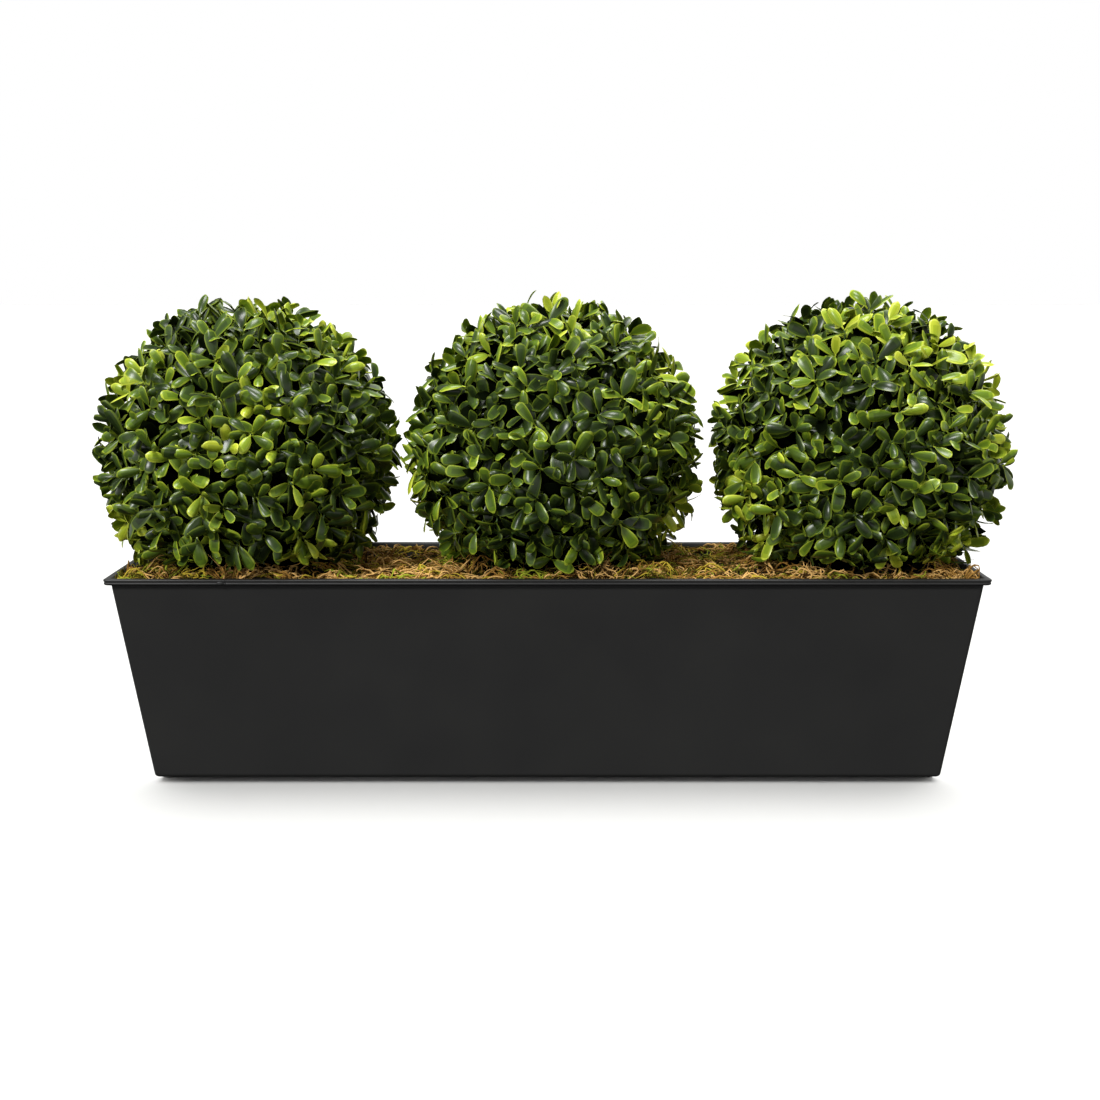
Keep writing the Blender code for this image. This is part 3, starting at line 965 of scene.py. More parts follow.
# %% Stalks and their forks
THICK_STALKS = 1650
STALK_SIDES = 4
STALK_STEPS = 7
STALK_LENGTHS = (0.016, 0.040)
STALK_RADII = (0.0008, 0.0015)
# A stalk narrows to this share of its radius. A fork starts and ends thinner than the stalk.
STALK_TAPER = 0.35
FORK_RADII = (0.7, 0.28)
FORK_COUNTS = ((0, 1, 2), (0.2, 0.45, 0.35))
FORK_LENGTHS = (0.007, 0.015)
FORK_STEPS = 4
FORK_LIFT = 0.003
# A fork leaves the stalk at one of these steps of its path, by this angle in radians.
FORK_PLACES = range(2, 6)
FORK_ANGLE = 0.9
# Up to how far a path turns over its length, in radians.
STALK_BEND, FORK_BEND, THREAD_BEND = 3.0, 2.5, 4.0
print("forks to a stalk, on average:", round(sum(n * share for n, share in zip(*FORK_COUNTS)), 2))

# %% Tall stalks
# Some long curly stalks climb up before the middle ball, higher than anywhere else: pale, tan and straw.
TALL_STALKS = 18
TALL_PLACE = (0.054, -0.1020)
TALL_REACH = 0.016
TALL_LENGTHS = (0.030, 0.060)
TALL_LIFTS = (0.008, 0.036)
TALL_RADII = (0.0007, 0.0011)
TALL_TAPER = 0.5
TALL_FAN = 0.5
TALL_BEND = 8.0
TALL_STEPS = 14
TALL_COLOURS = (0, 0, 1, 3)


def add_tall_stalks(heap):
    """The curly stalks that climb up before the middle ball."""
    for _ in range(TALL_STALKS):
        x = TALL_PLACE[0] + moss_dice.uniform(-TALL_REACH, TALL_REACH)
        heading = moss_dice.choice((0, math.pi)) + moss_dice.uniform(-TALL_FAN, TALL_FAN)
        length = moss_dice.uniform(*TALL_LENGTHS)
        lift = moss_dice.uniform(*TALL_LIFTS)
        path = curl(x, TALL_PLACE[1], heading, length, TALL_STEPS, TALL_BEND, lift, True, THICK_MARGIN)
        thick = moss_dice.uniform(*TALL_RADII)
        radii = np.linspace(thick, thick * TALL_TAPER, TALL_STEPS + 1)
        add_tube(heap, path, radii, STALK_SIDES, moss_dice.choice(TALL_COLOURS))


print("tall stalks:", TALL_STALKS, "of", THICK_STALKS + TALL_STALKS)


# %% Make the stalks
def make_stalks():
    heap = Heap()
    for _ in range(THICK_STALKS):
        x, y, heading, lift, has_free_tip = stalk_start()
        zone = stalk_zone(x, y, THICK_MIX)
        length = moss_dice.uniform(*STALK_LENGTHS)
        path = curl(x, y, heading, length, STALK_STEPS, STALK_BEND, lift, has_free_tip, THICK_MARGIN)
        thick = moss_dice.uniform(*STALK_RADII)
        radii = np.linspace(thick, thick * STALK_TAPER, STALK_STEPS + 1)
        add_tube(heap, path, radii, STALK_SIDES, zone)
        for _ in range(moss_dice.choices(*FORK_COUNTS)[0]):
            fork = path[moss_dice.choice(FORK_PLACES)]
            aside = heading + moss_dice.choice((-FORK_ANGLE, FORK_ANGLE))
            length = moss_dice.uniform(*FORK_LENGTHS)
            side = curl(
                fork.x, fork.y, aside, length, FORK_STEPS, FORK_BEND, FORK_LIFT, True, THICK_MARGIN
            )
            # The fork is lifted to the stalk at its foot, and by half as much at its tip.
            rise = (fork.z - side[0].z) / (2 * FORK_STEPS)
            branch = [
                point + Vector((0, 0, rise * (2 * FORK_STEPS - k))) for k, point in enumerate(side)
            ]
            radii = np.linspace(thick * FORK_RADII[0], thick * FORK_RADII[1], FORK_STEPS + 1)
            add_tube(heap, branch, radii, STALK_SIDES, zone)
    add_tall_stalks(heap)
    heap.make("moss_stalks", stalk_materials, ["moss_bed"], "moss")


make_stalks()

# %% Make the threads
THIN_STALKS = 2500
THREAD_SIDES = 3
THREAD_STEPS = 6
THREAD_LENGTHS = (0.010, 0.024)
THREAD_RADII = (0.00035, 0.00065)
THREAD_TAPER = 0.5
THREAD_LIFT = 0.7


def make_threads():
    heap = Heap()
    for _ in range(THIN_STALKS):
        x, y, heading, lift, has_free_tip = stalk_start()
        zone = stalk_zone(x, y, THIN_MIX)
        length = moss_dice.uniform(*THREAD_LENGTHS)
        lift *= THREAD_LIFT
        path = curl(x, y, heading, length, THREAD_STEPS, THREAD_BEND, lift, has_free_tip, THIN_MARGIN)
        thin = moss_dice.uniform(*THREAD_RADII)
        radii = np.linspace(thin, thin * THREAD_TAPER, THREAD_STEPS + 1)
        add_tube(heap, path, radii, THREAD_SIDES, zone)
    heap.make("moss_threads", stalk_materials, ["moss_bed"], "moss")


make_threads()

# %% [markdown]
# Green and brown crumbs fill the mat between the stalks. A crumb is a tuft of short pointed sprigs that
# spread from one point, as the tips of living moss do. Each sprig is only a three-sided point, because a
# finer shape wouldn't show at this size.

# %% Make the tufts
TUFTS = 2200
TUFT_SIZES = (0.0022, 0.0040)
TUFT_LIE = (-0.0004, 0.0016)
SPRIGS = 8
# By a tuft's size: how wide a sprig's foot is, how far out from the tuft's middle it can stand, and how
# long it is.
SPRIG_WIDTH = 0.22
SPRIG_OUT = 0.35
SPRIG_LENGTHS = (0.7, 1.3)
# How much a sprig leans, and by its length how far that takes the tip out, how high an upright one is
# and how much lower a leaning one.
SPRIG_LEANS = (0.1, 1.0)
LEAN_OUT, SPRIG_RISE, LEAN_FALL = 0.8, 1.1, 0.6
TUFT_MARGIN = 0.0026
TIP_MARGIN = 0.0016


def tuft(x, y, size):
    """Points and triangles of one tuft: short three-sided points that spread from the ground."""
    z = ground_height(x, y) + moss_dice.uniform(*TUFT_LIE)
    points, faces = [], []
    for k in range(SPRIGS):
        angle = 2 * math.pi * (k + moss_dice.random()) / SPRIGS
        lean = moss_dice.uniform(*SPRIG_LEANS)
        length = size * moss_dice.uniform(*SPRIG_LENGTHS)
        foot_x = x + math.cos(angle) * size * SPRIG_OUT * lean
        foot_y = y + math.sin(angle) * size * SPRIG_OUT * lean
        out = length * lean * LEAN_OUT
        tip_x = foot_x + math.cos(angle) * out
        tip_y = foot_y + math.sin(angle) * out
        tip_x, tip_y = inside_mouth(tip_x, tip_y, TIP_MARGIN)
        foot_x, foot_y = inside_mouth(foot_x, foot_y, TUFT_MARGIN)
        wide = size * SPRIG_WIDTH
        first = len(points)
        for s in range(3):
            around = angle + 2 * math.pi * s / 3
            points.append((foot_x + wide * math.cos(around), foot_y + wide * math.sin(around), z))
        points.append((tip_x, tip_y, z + length * (SPRIG_RISE - LEAN_FALL * lean)))
        faces += [(first + s, first + (s + 1) % 3, first + 3) for s in range(3)]
    return points, faces


def make_tufts():
    heap = Heap()
    for _ in range(TUFTS):
        x, y = shown_place()
        share = green_share(x, y)
        # In the order of the stalk colours: mostly brown where the moss is tan, and green elsewhere.
        weights = [0.03, 0.10, 0.40 * (1 - share) + 0.05, 0.10, 0.30, 0.06 + 0.5 * share]
        zone = moss_dice.choices(range(len(weights)), weights)[0]
        points, faces = tuft(x, y, moss_dice.uniform(*TUFT_SIZES))
        heap.add(points, faces, zone)
    heap.make("moss_tufts", stalk_materials, ["moss_bed"], "moss", smooth=False)


make_tufts()

# %% [markdown]
# ## The pegs
# A short wooden peg stands in the filling under each ball and runs up into it. It doesn't show from
# outside, so a plain cylinder would do. It is turned, though, so its mesh is a profile carried round,
# with shallow grain in its sides. The wood is turned softwood, with an IOR of about 1.5 and a roughness
# of 0.7 to 0.8.

# %% Make the pegs
# The turned profile: the radius and the height of each of its corners.
PEG_PROFILE = ((0.0100, 0.1723), (0.0081, 0.1763), (0.0075, 0.1803), (0.0060, 0.2570), (0.0042, 0.2610))
PEG_SIDES = 36
PEG_RINGS = 30
# How deep the grain is, and how fast it changes round the peg and along it.
PEG_GRAIN = 0.0002
GRAIN_ROUND, GRAIN_ALONG = 3, 12


def turned_wood():
    """Turned softwood: warm brown, matt, with grain along the peg in bands about 1.5 mm apart."""
    material, tree, shader = new_material("turned_softwood")
    place = add_node(tree, "ShaderNodeTexCoord")
    stretched = add_node(
        tree, "ShaderNodeMapping", {"Scale": (1.0, 1.0, 0.08)}, {"Vector": place.outputs["Object"]}
    )
    grain = add_node(
        tree,
        "ShaderNodeTexNoise",
        {"Scale": 1 / (1.5 * MM), "Detail": 3.0},
        {"Vector": stretched.outputs["Vector"]},
    )
    stops = ((0.35, "#6b4a2b"), (0.65, "#94703f"))
    tone = add_node(tree, "ShaderNodeValToRGB", {"stops": stops}, {"Fac": grain.outputs["Fac"]})
    relief = add_node(
        tree, "ShaderNodeBump", {"Strength": 0.4, "Distance": 0.2 * MM}, {"Height": grain.outputs["Fac"]}
    )
    looks = {"Base Color": tone.outputs["Color"], "Normal": relief.outputs["Normal"]}
    set_node(tree, shader, {"Roughness": 0.75, "IOR": 1.5}, looks)
    return material


def make_pegs():
    wood = turned_wood()
    profile_radii, profile_levels = zip(*PEG_PROFILE)
    levels = np.linspace(profile_levels[0], profile_levels[-1], PEG_RINGS)
    radii = np.interp(levels, profile_levels, profile_radii)
    for name, centre in zip(BALL_NAMES, CENTRES):
        heap = Heap()
        points = []
        for radius, level in zip(radii, levels):
            for s in range(PEG_SIDES):
                angle = 2 * math.pi * s / PEG_SIDES
                round_x, round_y = math.cos(angle), math.sin(angle)
                spot = Vector((round_x * GRAIN_ROUND, round_y * GRAIN_ROUND, level * GRAIN_ALONG))
                out = radius - PEG_GRAIN + PEG_GRAIN * noise.noise(spot)
                points.append((centre.x + out * round_x, out * round_y, float(level)))
        heap.add_rings(points, PEG_SIDES)
        heap.make(f"peg_{name}", [wood], [f"stem_{name}"], "peg_wood")


make_pegs()

# %% [markdown]
# ## The leaves
# The leaves are moulded polyethylene, printed or dipped so that the middle is dark and the margin stays
# a bright yellow green. The plastic is satin: soft streaks of shine, no mirror gloss. It has an IOR of
# about 1.5 and a roughness near 0.3. An image on each leaf would be one way to colour it. Here the leaf
# is a small grid, six columns of quads wide, and its faces fall in three zones, the middle, the shoulder
# and the margin. Each zone has a plain colour, in one of seven tones from nearly black to the yellow
# green of young leaves. That stays sharp at any size.

# %% Leaf colours
LEAF_ROUGHNESS = 0.29
LEAF_IOR = 1.5
LEAF_GLOSS = 0.34
# The inner leaves have no shine, so that the gaps stay dark.
INNER_ROUGHNESS = 0.9
INNER_GLOSS = 0.0
# The first tone, nearly black, is painted shade: it colours the inner leaves deep in the ball.
TONES = (
    ("shade", "#070b04", "#090e05", "#111706"),
    ("deep", "#222f12", "#2f4016", "#5d6e1d"),
    ("dusky", "#35461f", "#42581d", "#728424"),
    ("mid", "#4a5f21", "#5b741f", "#90a12d"),
    ("grass", "#607920", "#779022", "#acbb36"),
    ("lime", "#849b29", "#9caf2f", "#c3cf46"),
    ("young", "#9fae2b", "#b5c036", "#d0da52"),
)
PAINTED_SHADE, DEEP, DUSKY, MID, GRASS, LIME, YOUNG = range(7)
ZONES = ("middle", "shoulder", "margin")
leaf_materials = []
for tone_name, *zone_colours in TONES:
    is_inner = tone_name == "shade"
    roughness = INNER_ROUGHNESS if is_inner else LEAF_ROUGHNESS
    gloss = INNER_GLOSS if is_inner else LEAF_GLOSS
    for zone_name, colour in zip(ZONES, zone_colours):
        name = f"leaf_{tone_name}_{zone_name}"
        leaf_materials.append(plain_material(name, colour, roughness, LEAF_IOR, gloss))
print("leaf materials:", len(leaf_materials))

# %% Leaf grid
# Rows run from the foot at 0 to the tip at 1, and columns from one side at -1 to the other at 1. An
# outline gives the leaf's width at each row. The plain leaf is the one for the depth of the ball.
LEAF_ROWS = np.array((0.0, 0.14, 0.32, 0.56, 0.79, 0.93, 1.0))
LEAF_COLUMNS = np.array((-1.0, -0.80, -0.46, 0.0, 0.46, 0.80, 1.0))
LEAF_OUTLINES = (
    (0.12, 0.20, 0.78, 1.00, 0.97, 0.81, 0.52),
    (0.12, 0.17, 0.66, 0.93, 1.00, 0.88, 0.59),
    (0.12, 0.20, 0.82, 1.00, 0.92, 0.70, 0.40),
    (0.12, 0.16, 0.60, 0.88, 1.00, 0.93, 0.66),
)
PLAIN_ROWS = np.array((0.0, 0.2, 0.5, 0.85, 1.0))
PLAIN_COLUMNS = np.array((-1.0, -0.8, 0.0, 0.8, 1.0))
PLAIN_OUTLINE = (0.10, 0.50, 1.00, 0.75, 0.20)
OUTLINE_MIX = (0.36, 0.30, 0.18, 0.16)


def leaf_zones(rows, columns):
    """The grid's quads and each quad's zone: 0 middle, 1 shoulder, 2 margin."""
    faces, zones = [], []
    for i in range(rows - 1):
        for j in range(columns - 1):
            start = i * columns + j
            faces.append((start, start + 1, start + columns + 1, start + columns))
            from_side = min(j, columns - 2 - j)
            from_tip = rows - 2 - i
            if from_side == 0 or from_tip == 0 or i == 0:
                zones.append(2)
            elif from_side == 1 or from_tip == 1:
                zones.append(1)
            else:
                zones.append(0)
    return np.array(faces), np.array(zones)


LEAF_GRID = leaf_zones(len(LEAF_ROWS), len(LEAF_COLUMNS))
PLAIN_GRID = leaf_zones(len(PLAIN_ROWS), len(PLAIN_COLUMNS))
print("triangles in a leaf:", 2 * len(LEAF_GRID[0]), "and in an inner leaf:", 2 * len(PLAIN_GRID[0]))

# %% [markdown]
# The grid becomes a leaf in four steps. The outline sets its width, the sides rise or fall in a cup and
# a fold, the blade twists about its length, and it droops in an arc. The margin stands up as a thin lip,
# as on the moulded leaf, and catches a line of light.

# %% The shape of a leaf
# How far the tip's corners are drawn back, how high the lip is, and how late in its length a leaf bends.
TIP_ROUNDING = 0.055
LIP = 0.00022
DROOP_POWER = 1.6
# The chord from the foot to a point of the arc turns by this share of the angle that the blade has there.
CHORD_SHARE = 0.38


def leaf_shape(rows, columns, outline_widths, length, width, cup, fold, droop, twist):
    """The leaf's points about its foot: along x, across y, its upper face towards z."""
    rows = rows[:, None]
    columns = columns[None, :]
    half = np.array(outline_widths)[:, None] * width / 2
    across = half * columns
    share = rows - rows**3 * TIP_ROUNDING * columns**2
    rise = half * (cup * columns**2 + fold * np.abs(columns))
    rise = rise + (np.abs(columns) == 1.0) * LIP
    turn = twist * rows
    level = across * np.cos(turn) - rise * np.sin(turn)
    rise = across * np.sin(turn) + rise * np.cos(turn)
    angle = droop * np.maximum(share, 0.0) ** DROOP_POWER
    chord = CHORD_SHARE * angle
    along = share * length * np.cos(chord) + rise * np.sin(angle)
    up = -share * length * np.sin(chord) + rise * np.cos(angle)
    return np.stack((along, level, up), axis=-1).reshape(-1, 3)


flat_leaf = leaf_shape(LEAF_ROWS, LEAF_COLUMNS, LEAF_OUTLINES[0], 28 * MM, 12 * MM, 0, 0, 0, 0)
print("a flat leaf of 28 by 12 mm measures", np.ptp(flat_leaf, axis=0).round(4))

# %% Veins
# The veins run along the blade as low ribs, a third of a millimetre high from groove to crest, which is
# drawn stronger than life. The blade is a little uneven besides. Both break its shine up into streaks.
# They are laid out for the outer leaves' columns. An inner leaf has fewer, so it only gets uneven.
RIB_RISE = 0.00017
UNEVENNESS = 0.00006
BUMP_SETS = 40
bump_dice = np.random.default_rng(3)
ribs = np.tile(np.where(np.arange(len(LEAF_COLUMNS)) % 2, RIB_RISE, -RIB_RISE), len(LEAF_ROWS))
bumps = [ribs + bump_dice.uniform(-UNEVENNESS, UNEVENNESS, len(ribs)) for _ in range(BUMP_SETS)]
print("sets of bumps:", len(bumps))


# %% [markdown]
# ## How a ball grows
# The solids already follow a rule: directions spread evenly over the ball on a golden spiral, a twig in
# each, and a rosette of leaves on the twig's end. A leaf that would leave the ball's space is opened
# further until it fits. Here the same sprays fork into finer twigs. Each fine twig carries three pairs
# of leaves, each pair turned about a quarter from the last, as on real box: wide dark leaves outside
# and short light ones at the tip. The outer pair's darker tone is partly painted shade, as those leaves
# lie deeper in the ball. A fourth pair of plainer leaves, coloured nearly black as painted shade, fills
# the depth.

# %% The space a ball may fill
# Half the width, the depth and the height of the space, which is nearly round.
LEAF_REACH = np.array((0.1535, 0.1560, 0.1600))
RIM_CLEARANCE = 0.0006
MOSS_CLEARANCE = 0.0012
# In front the lowest leaves end higher, where the photo shows a strip of moss before each ball.
FRONT_CLEARANCE = 0.0110
STRIP_START = 0.050
STRIP_SLOPE = 0.030
# A leaf that stays above this is well clear of the moss and the rim.
SAFE_LEVEL = 0.225
GOLDEN_ANGLE = math.pi * (3 - math.sqrt(5))


def keeps_its_space(points, centre):
    """Whether all points, given from the ball's centre, stay in the ball's reach, on its own side
    of the next ball, above the moss and clear of the rim."""
    if (np.square(points / LEAF_REACH).sum(axis=1) > 1).any():
        return False
    if (np.abs(points[:, 0]) > (BALL_PITCH - GAP) / 2).any():
        return False
    x = points[:, 0] + centre.x
    y = points[:, 1]
    z = points[:, 2] + centre.z
    if z.min() > SAFE_LEVEL:
        return True
    wall = SHEET + RIM_CLEARANCE
    over_mouth = (np.abs(x) < MOUTH_X - wall) & (np.abs(y) < MOUTH_Y - wall)
    forward = np.clip((-y - STRIP_START) / STRIP_SLOPE, 0.0, 1.0)
    clearance = MOSS_CLEARANCE + FRONT_CLEARANCE * forward
    floor_level = np.where(over_mouth, moss_height(x, y) + clearance, TROUGH_HEIGHT + RIM_CLEARANCE)
    return bool((z > floor_level).all())


def even_directions(count):
    """Directions spread evenly over a sphere, on a golden spiral."""
    for k in range(count):
        z = 1 - 2 * (k + 0.5) / count
        flat = math.sqrt(1 - z * z)
        yield Vector((flat * math.cos(GOLDEN_ANGLE * k), flat * math.sin(GOLDEN_ANGLE * k), z))


def spoke(axis, angle):
    """A unit vector square to the axis, turned about it by an angle."""
    return Matrix.Rotation(angle, 3, axis) @ axis.orthogonal().normalized()


def leaned(direction, most, dice):
    """The direction tilted by up to most, towards a random side."""
    side = spoke(direction, dice.uniform(0, 2 * math.pi))
    return (direction + side * math.tan(most * dice.random())).normalized()


print("leaves may reach up to z =", round(BALL_HEIGHT + float(LEAF_REACH[2]), 4))

# %% Sprays and twigs
SPRAYS_ON_BALL = 64
TWIGS_ON_BALL = 425
# From the ball's middle: where a spray starts, where it forks, and where its fine twigs end.
SPRAY_FOOT = 0.098
FORK_RADIUS = 0.108
HUB_RADII = (0.1240, 0.1415)
# The balls in the photo are a little taller than wide.
HUB_STRETCH = Matrix.Diagonal((0.98, 1.0, 1.012))
TWIG_SCATTER = math.radians(3.0)
TWIG_LEAN = math.radians(30)
TWIG_BOW = 0.004
TWIG_TIP = 0.006
spray_directions = list(even_directions(SPRAYS_ON_BALL))
print("angle between neighbouring sprays:", round(math.degrees(math.sqrt(4 * math.pi / SPRAYS_ON_BALL))))


def fine_twigs(dice):
    """For each fine twig: its spray's number, its path from the fork to the hub, and its aim."""
    for direction in even_directions(TWIGS_ON_BALL):
        direction = leaned(direction, TWIG_SCATTER, dice)
        spray = max(range(SPRAYS_ON_BALL), key=lambda k: spray_directions[k].dot(direction))
        aim = leaned(direction, TWIG_LEAN, dice)
        hub = HUB_STRETCH @ direction * dice.uniform(*HUB_RADII)
        fork = spray_directions[spray] * FORK_RADIUS
        middle = (fork + hub) / 2 - (direction - spray_directions[spray]) * TWIG_BOW
        yield spray, [fork, middle, hub - aim * TWIG_TIP, hub], aim


# %% Moulded leaves
LEAF_LENGTH = 0.0284
LEAF_WIDTH = 0.0117
LENGTH_RANGE = (0.84, 1.14)
WIDTH_RANGE = (0.88, 1.10)
# The sides curve down by half their width or so, and a fold along the middle lifts them a little.
CUP_CHANCE = (-0.25, 1.0, 0.5)
FOLD_RANGE = (-0.05, 0.22)
# In degrees: the droop is mostly slight and sometimes strong, and the twist goes either way.
DROOP_CHANCE = (0, 100, 44)
TWIST_RANGE = (-28, 28)
# For each pair: how far behind the hub, spread from the aim in degrees, size, and cup. The first is the
# inner pair.
PAIRS = (
    (0.0165, 70, 1.12, 0.10),
    (0.0085, 62, 1.06, 0.12),
    (0.0040, 50, 1.00, 0.10),
    (0.0000, 28, 0.84, 0.00),
)
INNER_PAIR = 0
leaf_sizes = [LEAF_LENGTH * pair[2] * scale for pair in PAIRS for scale in LENGTH_RANGE]
print("leaves are", round(min(leaf_sizes), 4), "to", round(max(leaf_sizes), 4), "m long along their curve")


def moulded_leaf(pair, dice):
    """One leaf of this pair about its foot: its size, outline, cup, bend and twist vary by chance."""
    size, cup = PAIRS[pair][2:]
    scale = size * dice.uniform(*LENGTH_RANGE)
    outline_number = dice.choices(range(len(LEAF_OUTLINES)), OUTLINE_MIX)[0]
    grid = (LEAF_ROWS, LEAF_COLUMNS, LEAF_OUTLINES[outline_number])
    if pair == INNER_PAIR:
        grid = (PLAIN_ROWS, PLAIN_COLUMNS, PLAIN_OUTLINE)
    shape = leaf_shape(
        *grid,
        LEAF_LENGTH * scale,
        LEAF_WIDTH * scale * dice.uniform(*WIDTH_RANGE),
        -cup - dice.triangular(*CUP_CHANCE),
        dice.uniform(*FOLD_RANGE),
        math.radians(dice.triangular(*DROOP_CHANCE)),
        math.radians(dice.uniform(*TWIST_RANGE)),
    )
    shape[:, 2] += bumps[dice.randrange(len(bumps))][: len(shape)]
    return shape


# %% Set a leaf on its twig
# A leaf that doesn't fit is opened by this angle more, up to so many tries in all.
SPREAD_STEP = math.radians(8)
SPREAD_TRIES = 6
# How far a leaf's foot strays along the twig, and how far its spread and its roll stray, in degrees.
FOOT_SHIFT = 0.0015
SPREAD_JITTER = 26
ROLL_RANGE = 32


def fitted_leaf(foot, aim, side, spread, roll, shape, centre):
    """A leaf set on its foot, opened further from the twig until it fits, or None."""
    for step in range(SPREAD_TRIES):
        angle = spread + step * SPREAD_STEP
        along = aim * math.cos(angle) + side * math.sin(angle)
        upper = aim * math.sin(angle) - side * math.cos(angle)
        across = upper.cross(along)
        tilted = upper * math.cos(roll) + across * math.sin(roll)
        across = tilted.cross(along)
        axes = np.array((along, across, tilted))
        points = shape @ axes + np.array(foot)
        if keeps_its_space(points, centre):
            return points
    return None


def leaf_on_twig(hub, aim, around, pair, centre, dice):
    """A leaf of this pair where it grows, at this angle round the twig, or None if it finds no room."""
    behind, spread = PAIRS[pair][:2]
    shape = moulded_leaf(pair, dice)
    foot = hub - aim * (behind + dice.uniform(-FOOT_SHIFT, FOOT_SHIFT))
    spread = math.radians(spread + dice.uniform(-SPREAD_JITTER, SPREAD_JITTER))
    roll = math.radians(dice.uniform(-ROLL_RANGE, ROLL_RANGE))
    return fitted_leaf(foot, aim, spoke(aim, around), spread, roll, shape, centre)


print("most that a leaf is opened, in degrees:", round(math.degrees(SPREAD_STEP) * (SPREAD_TRIES - 1)))


# %% [markdown]
# Inside the leaves is the hollow ball that they are clipped to. It is moulded in near-black green
# plastic, matt and pierced, and only shows as darkness behind the leaves. Here it is a lumpy shell,
# coloured nearly black, which is partly painted shade, so that the gaps among the leaves stay deep. The
# real holes are left out, because nothing is seen through them.

# %% The inner shell
SHELL_RADIUS = 0.1235
# How high its lumps are, and how fast they follow each other round it.
SHELL_LUMPS = 0.0022
SHELL_PACE = 9
SHELL_BANDS = 44
SHELL_SEGMENTS = 72


def shell_painted_shade():
    material, tree, shader = new_material("near_black_shell_painted_shade")
    place = add_node(tree, "ShaderNodeTexCoord")
    cloud = add_node(
        tree,
        "ShaderNodeTexNoise",
        {"Scale": 1 / (9 * MM), "Detail": 2.0},
        {"Vector": place.outputs["Object"]},
    )
    # Nearly black: partly the plastic's own dark green and partly painted shade for the gaps among the
    # leaves.
    stops = ((0.35, "#020302"), (0.7, "#050704"))
    tone = add_node(tree, "ShaderNodeValToRGB", {"stops": stops}, {"Fac": cloud.outputs["Fac"]})
    relief = add_node(
        tree, "ShaderNodeBump", {"Strength": 0.5, "Distance": 1.0 * MM}, {"Height": cloud.outputs["Fac"]}
    )
    looks = {"Base Color": tone.outputs["Color"], "Normal": relief.outputs["Normal"]}
    set_node(tree, shader, {"Roughness": 0.95, "Specular IOR Level": 0.0}, looks)
    return material


shell_shade_material = shell_painted_shade()


def make_shell(name, centre):
    heap = Heap()
    points = []
    for i in range(1, SHELL_BANDS):
        angle = math.pi * i / SHELL_BANDS
        for j in range(SHELL_SEGMENTS):
            turn = 2 * math.pi * j / SHELL_SEGMENTS
            flat = math.sin(angle)
            out = Vector((flat * math.cos(turn), flat * math.sin(turn), -math.cos(angle)))
            radius = SHELL_RADIUS + SHELL_LUMPS * noise.noise(out * SHELL_PACE)
            points.append(tuple(centre + out * radius))
    heap.add_rings(points, SHELL_SEGMENTS)
    heap.make(f"shell_{name}", [shell_shade_material], [f"ball_{name}"], "leaf_plastic")


print("room for leaves beside the shell:", round(float(LEAF_REACH.min()) - SHELL_RADIUS, 3), "m")

# %% [markdown]
# The twigs are moulded with the leaves, in the same plastic, a dull yellow green that shows as thin
# lines in the gaps. They could be left out where leaves hide them, but then leaves would hang in the air
# when someone looks closer. A spray's stem is a five-sided tube inside the shell. A fine twig is a
# four-sided one that comes out through the shell and gets thinner towards its end.

# %% Twigs
TWIG_COLOURS = (("twig_olive", "#56661f"), ("twig_green", "#3f5a24"))
TWIG_ROUGHNESS = 0.45
twig_materials = []
for twig_name, twig_colour in TWIG_COLOURS:
    twig_materials.append(plain_material(twig_name, twig_colour, TWIG_ROUGHNESS, LEAF_IOR))
STEM_RADII = (0.0022, 0.0022, 0.0022)
STEM_SIDES = 5
TWIG_RADII = (0.0016, 0.0013, 0.0010, 0.0007)
TWIG_SIDES = 4
print("twig materials:", len(twig_materials))


def grow_stems(twigs, centre):
    """The short stem of each spray, which ends at its fork. Both are hidden inside the shell."""
    for k, direction in enumerate(spray_directions):
        foot = direction * SPRAY_FOOT
        fork = direction * FORK_RADIUS
        path = [centre + foot, centre + (foot + fork) / 2, centre + fork]
        add_tube(twigs, path, STEM_RADII, STEM_SIDES, k % len(twig_materials))


# %% [markdown]
# Each spray starts from one tone, as if it had been moulded in one run, and its leaves stray from that
# by a step or two: darker at the outside, which is partly painted shade for the leaves that lie deeper,
# and lighter at the tip. So whole sprays look dark or light, as in the photo, and the colours don't
# speckle.

# %% Tones
# Which tone a spray starts from, and how common each is.
SPRAY_TONES = (DEEP, DUSKY, MID, GRASS, LIME)
SPRAY_MIX = (0.22, 0.28, 0.22, 0.16, 0.12)
TWIG_STEPS = ((-1, 0, 1), (0.25, 0.5, 0.25))
LEAF_STEPS = ((-1, 0, 1), (0.30, 0.40, 0.30))
# Each pair's step of tone: the second pair, which lies deeper, is a step darker as painted shade, and the
# tip pair a step lighter as young growth.
PAIR_LIFT_WITH_DEPTH_SHADE = (0, -1, 0, 1)


def tone_of(base, pair, dice):
    """The tone's number for one leaf: painted shade for the inner pair, else the twig's own, a step
    darker as painted shade for the deeper pair, and lighter towards the twig's tip.
    """
    if pair == INNER_PAIR:
        return PAINTED_SHADE
    lift = PAIR_LIFT_WITH_DEPTH_SHADE[pair] + dice.choices(*LEAF_STEPS)[0]
    return max(DEEP, min(YOUNG, base + lift))


print("sprays start from:", [TONES[k][0] for k in SPRAY_TONES])


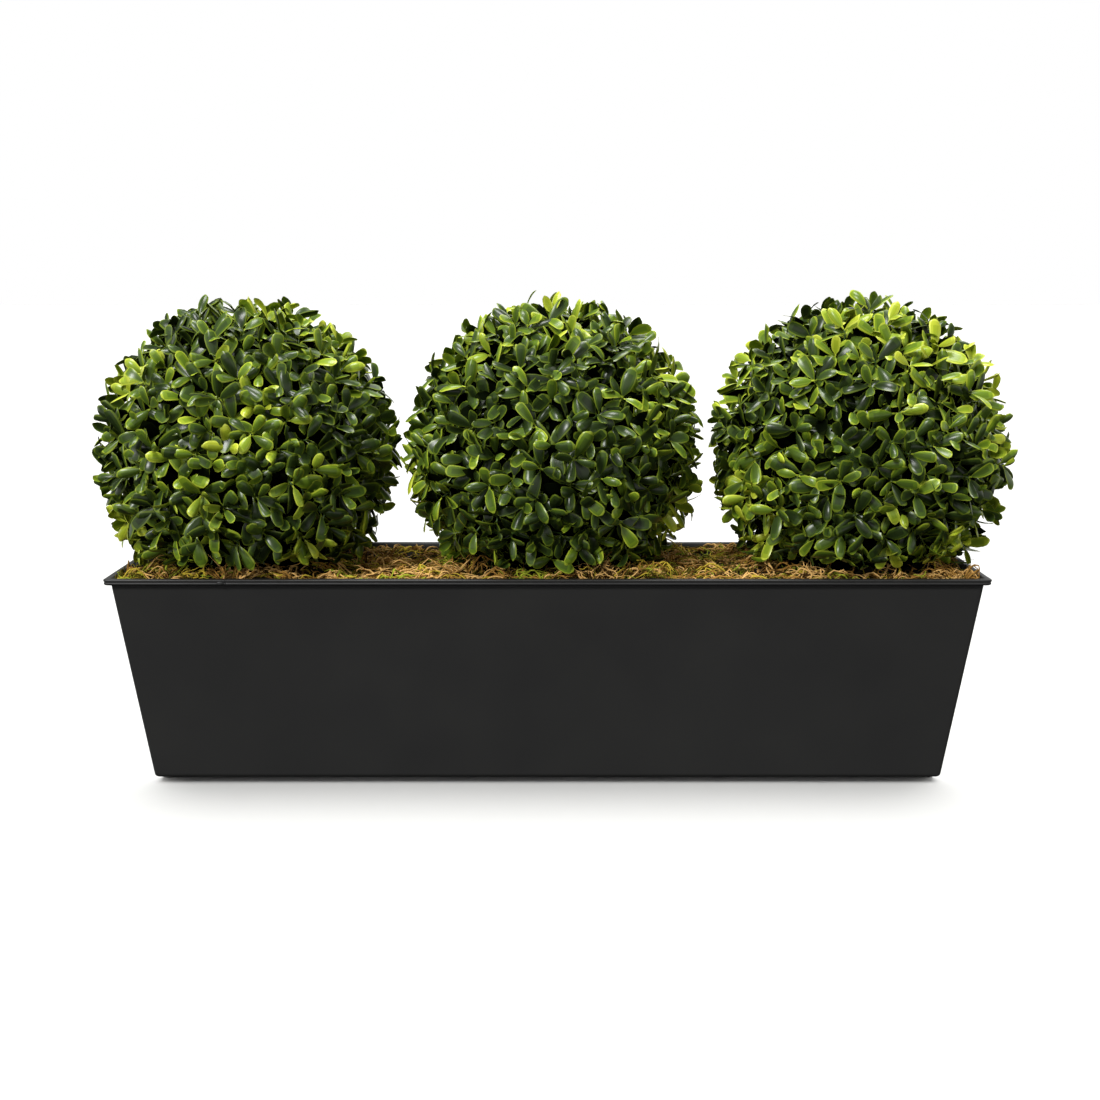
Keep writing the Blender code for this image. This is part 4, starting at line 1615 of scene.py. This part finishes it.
# %% Grow the balls
# Each pair is turned on from the last by this much, about a quarter turn, and strays by up to the jitter.
PAIR_TURN = 1.7
PAIR_JITTER = 0.5


def grow_ball(name, centre, seed):
    """Grows one ball: its leaves and its twigs, each kind as one piece."""
    dice = random.Random(seed)
    leaves, twigs = Heap(), Heap()
    base_tones = [dice.choices(SPRAY_TONES, SPRAY_MIX)[0] for _ in range(SPRAYS_ON_BALL)]
    grow_stems(twigs, centre)
    missed = 0
    for spray, path, aim in fine_twigs(dice):
        base = base_tones[spray] + dice.choices(*TWIG_STEPS)[0]
        base = max(DEEP, min(LIME, base))
        turn = dice.uniform(0, math.pi)
        kept = 0
        for pair in range(len(PAIRS)):
            for side_turn in (0, math.pi):
                around = turn + pair * PAIR_TURN + side_turn + dice.uniform(-PAIR_JITTER, PAIR_JITTER)
                points = leaf_on_twig(path[-1], aim, around, pair, centre, dice)
                if points is None:
                    missed += 1
                    continue
                kept += 1
                tone = tone_of(base, pair, dice)
                faces, zones = PLAIN_GRID if pair == INNER_PAIR else LEAF_GRID
                leaves.add(points + np.array(centre), faces, zones + len(ZONES) * tone)
        if kept:
            path = [centre + point for point in path]
            add_tube(twigs, path, TWIG_RADII, TWIG_SIDES, spray % len(twig_materials))
    print(f"ball_{name}: {len(leaves.faces)} leaves, {missed} that found no room")
    leaves.make(f"leaves_{name}", leaf_materials, [f"ball_{name}"], "leaf_plastic")
    twigs.make(f"twigs_{name}", twig_materials, [f"ball_{name}"], "leaf_plastic")
    make_shell(name, centre)


# These seeds deal the light and dark sprays out roughly as they lie on each ball in the photo.
SEEDS = (129503, 175209, 110592)
for ball_name, ball_centre, seed in zip(BALL_NAMES, CENTRES, SEEDS):
    grow_ball(ball_name, ball_centre, seed)

# %% [markdown]
# Last, the box of the dressed model is printed, to be set beside the box of the solids printed at the
# start and show that the dressing hasn't changed the object's size.

# %% Sizes and finish
DRESSED_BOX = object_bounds()
for box_name, box in (("cad", CAD_BOX), ("visual", DRESSED_BOX)):
    [[float(v) for v in corner] for corner in box]
print("box of the dressed model:", [[round(v, 4) for v in corner] for corner in DRESSED_BOX])
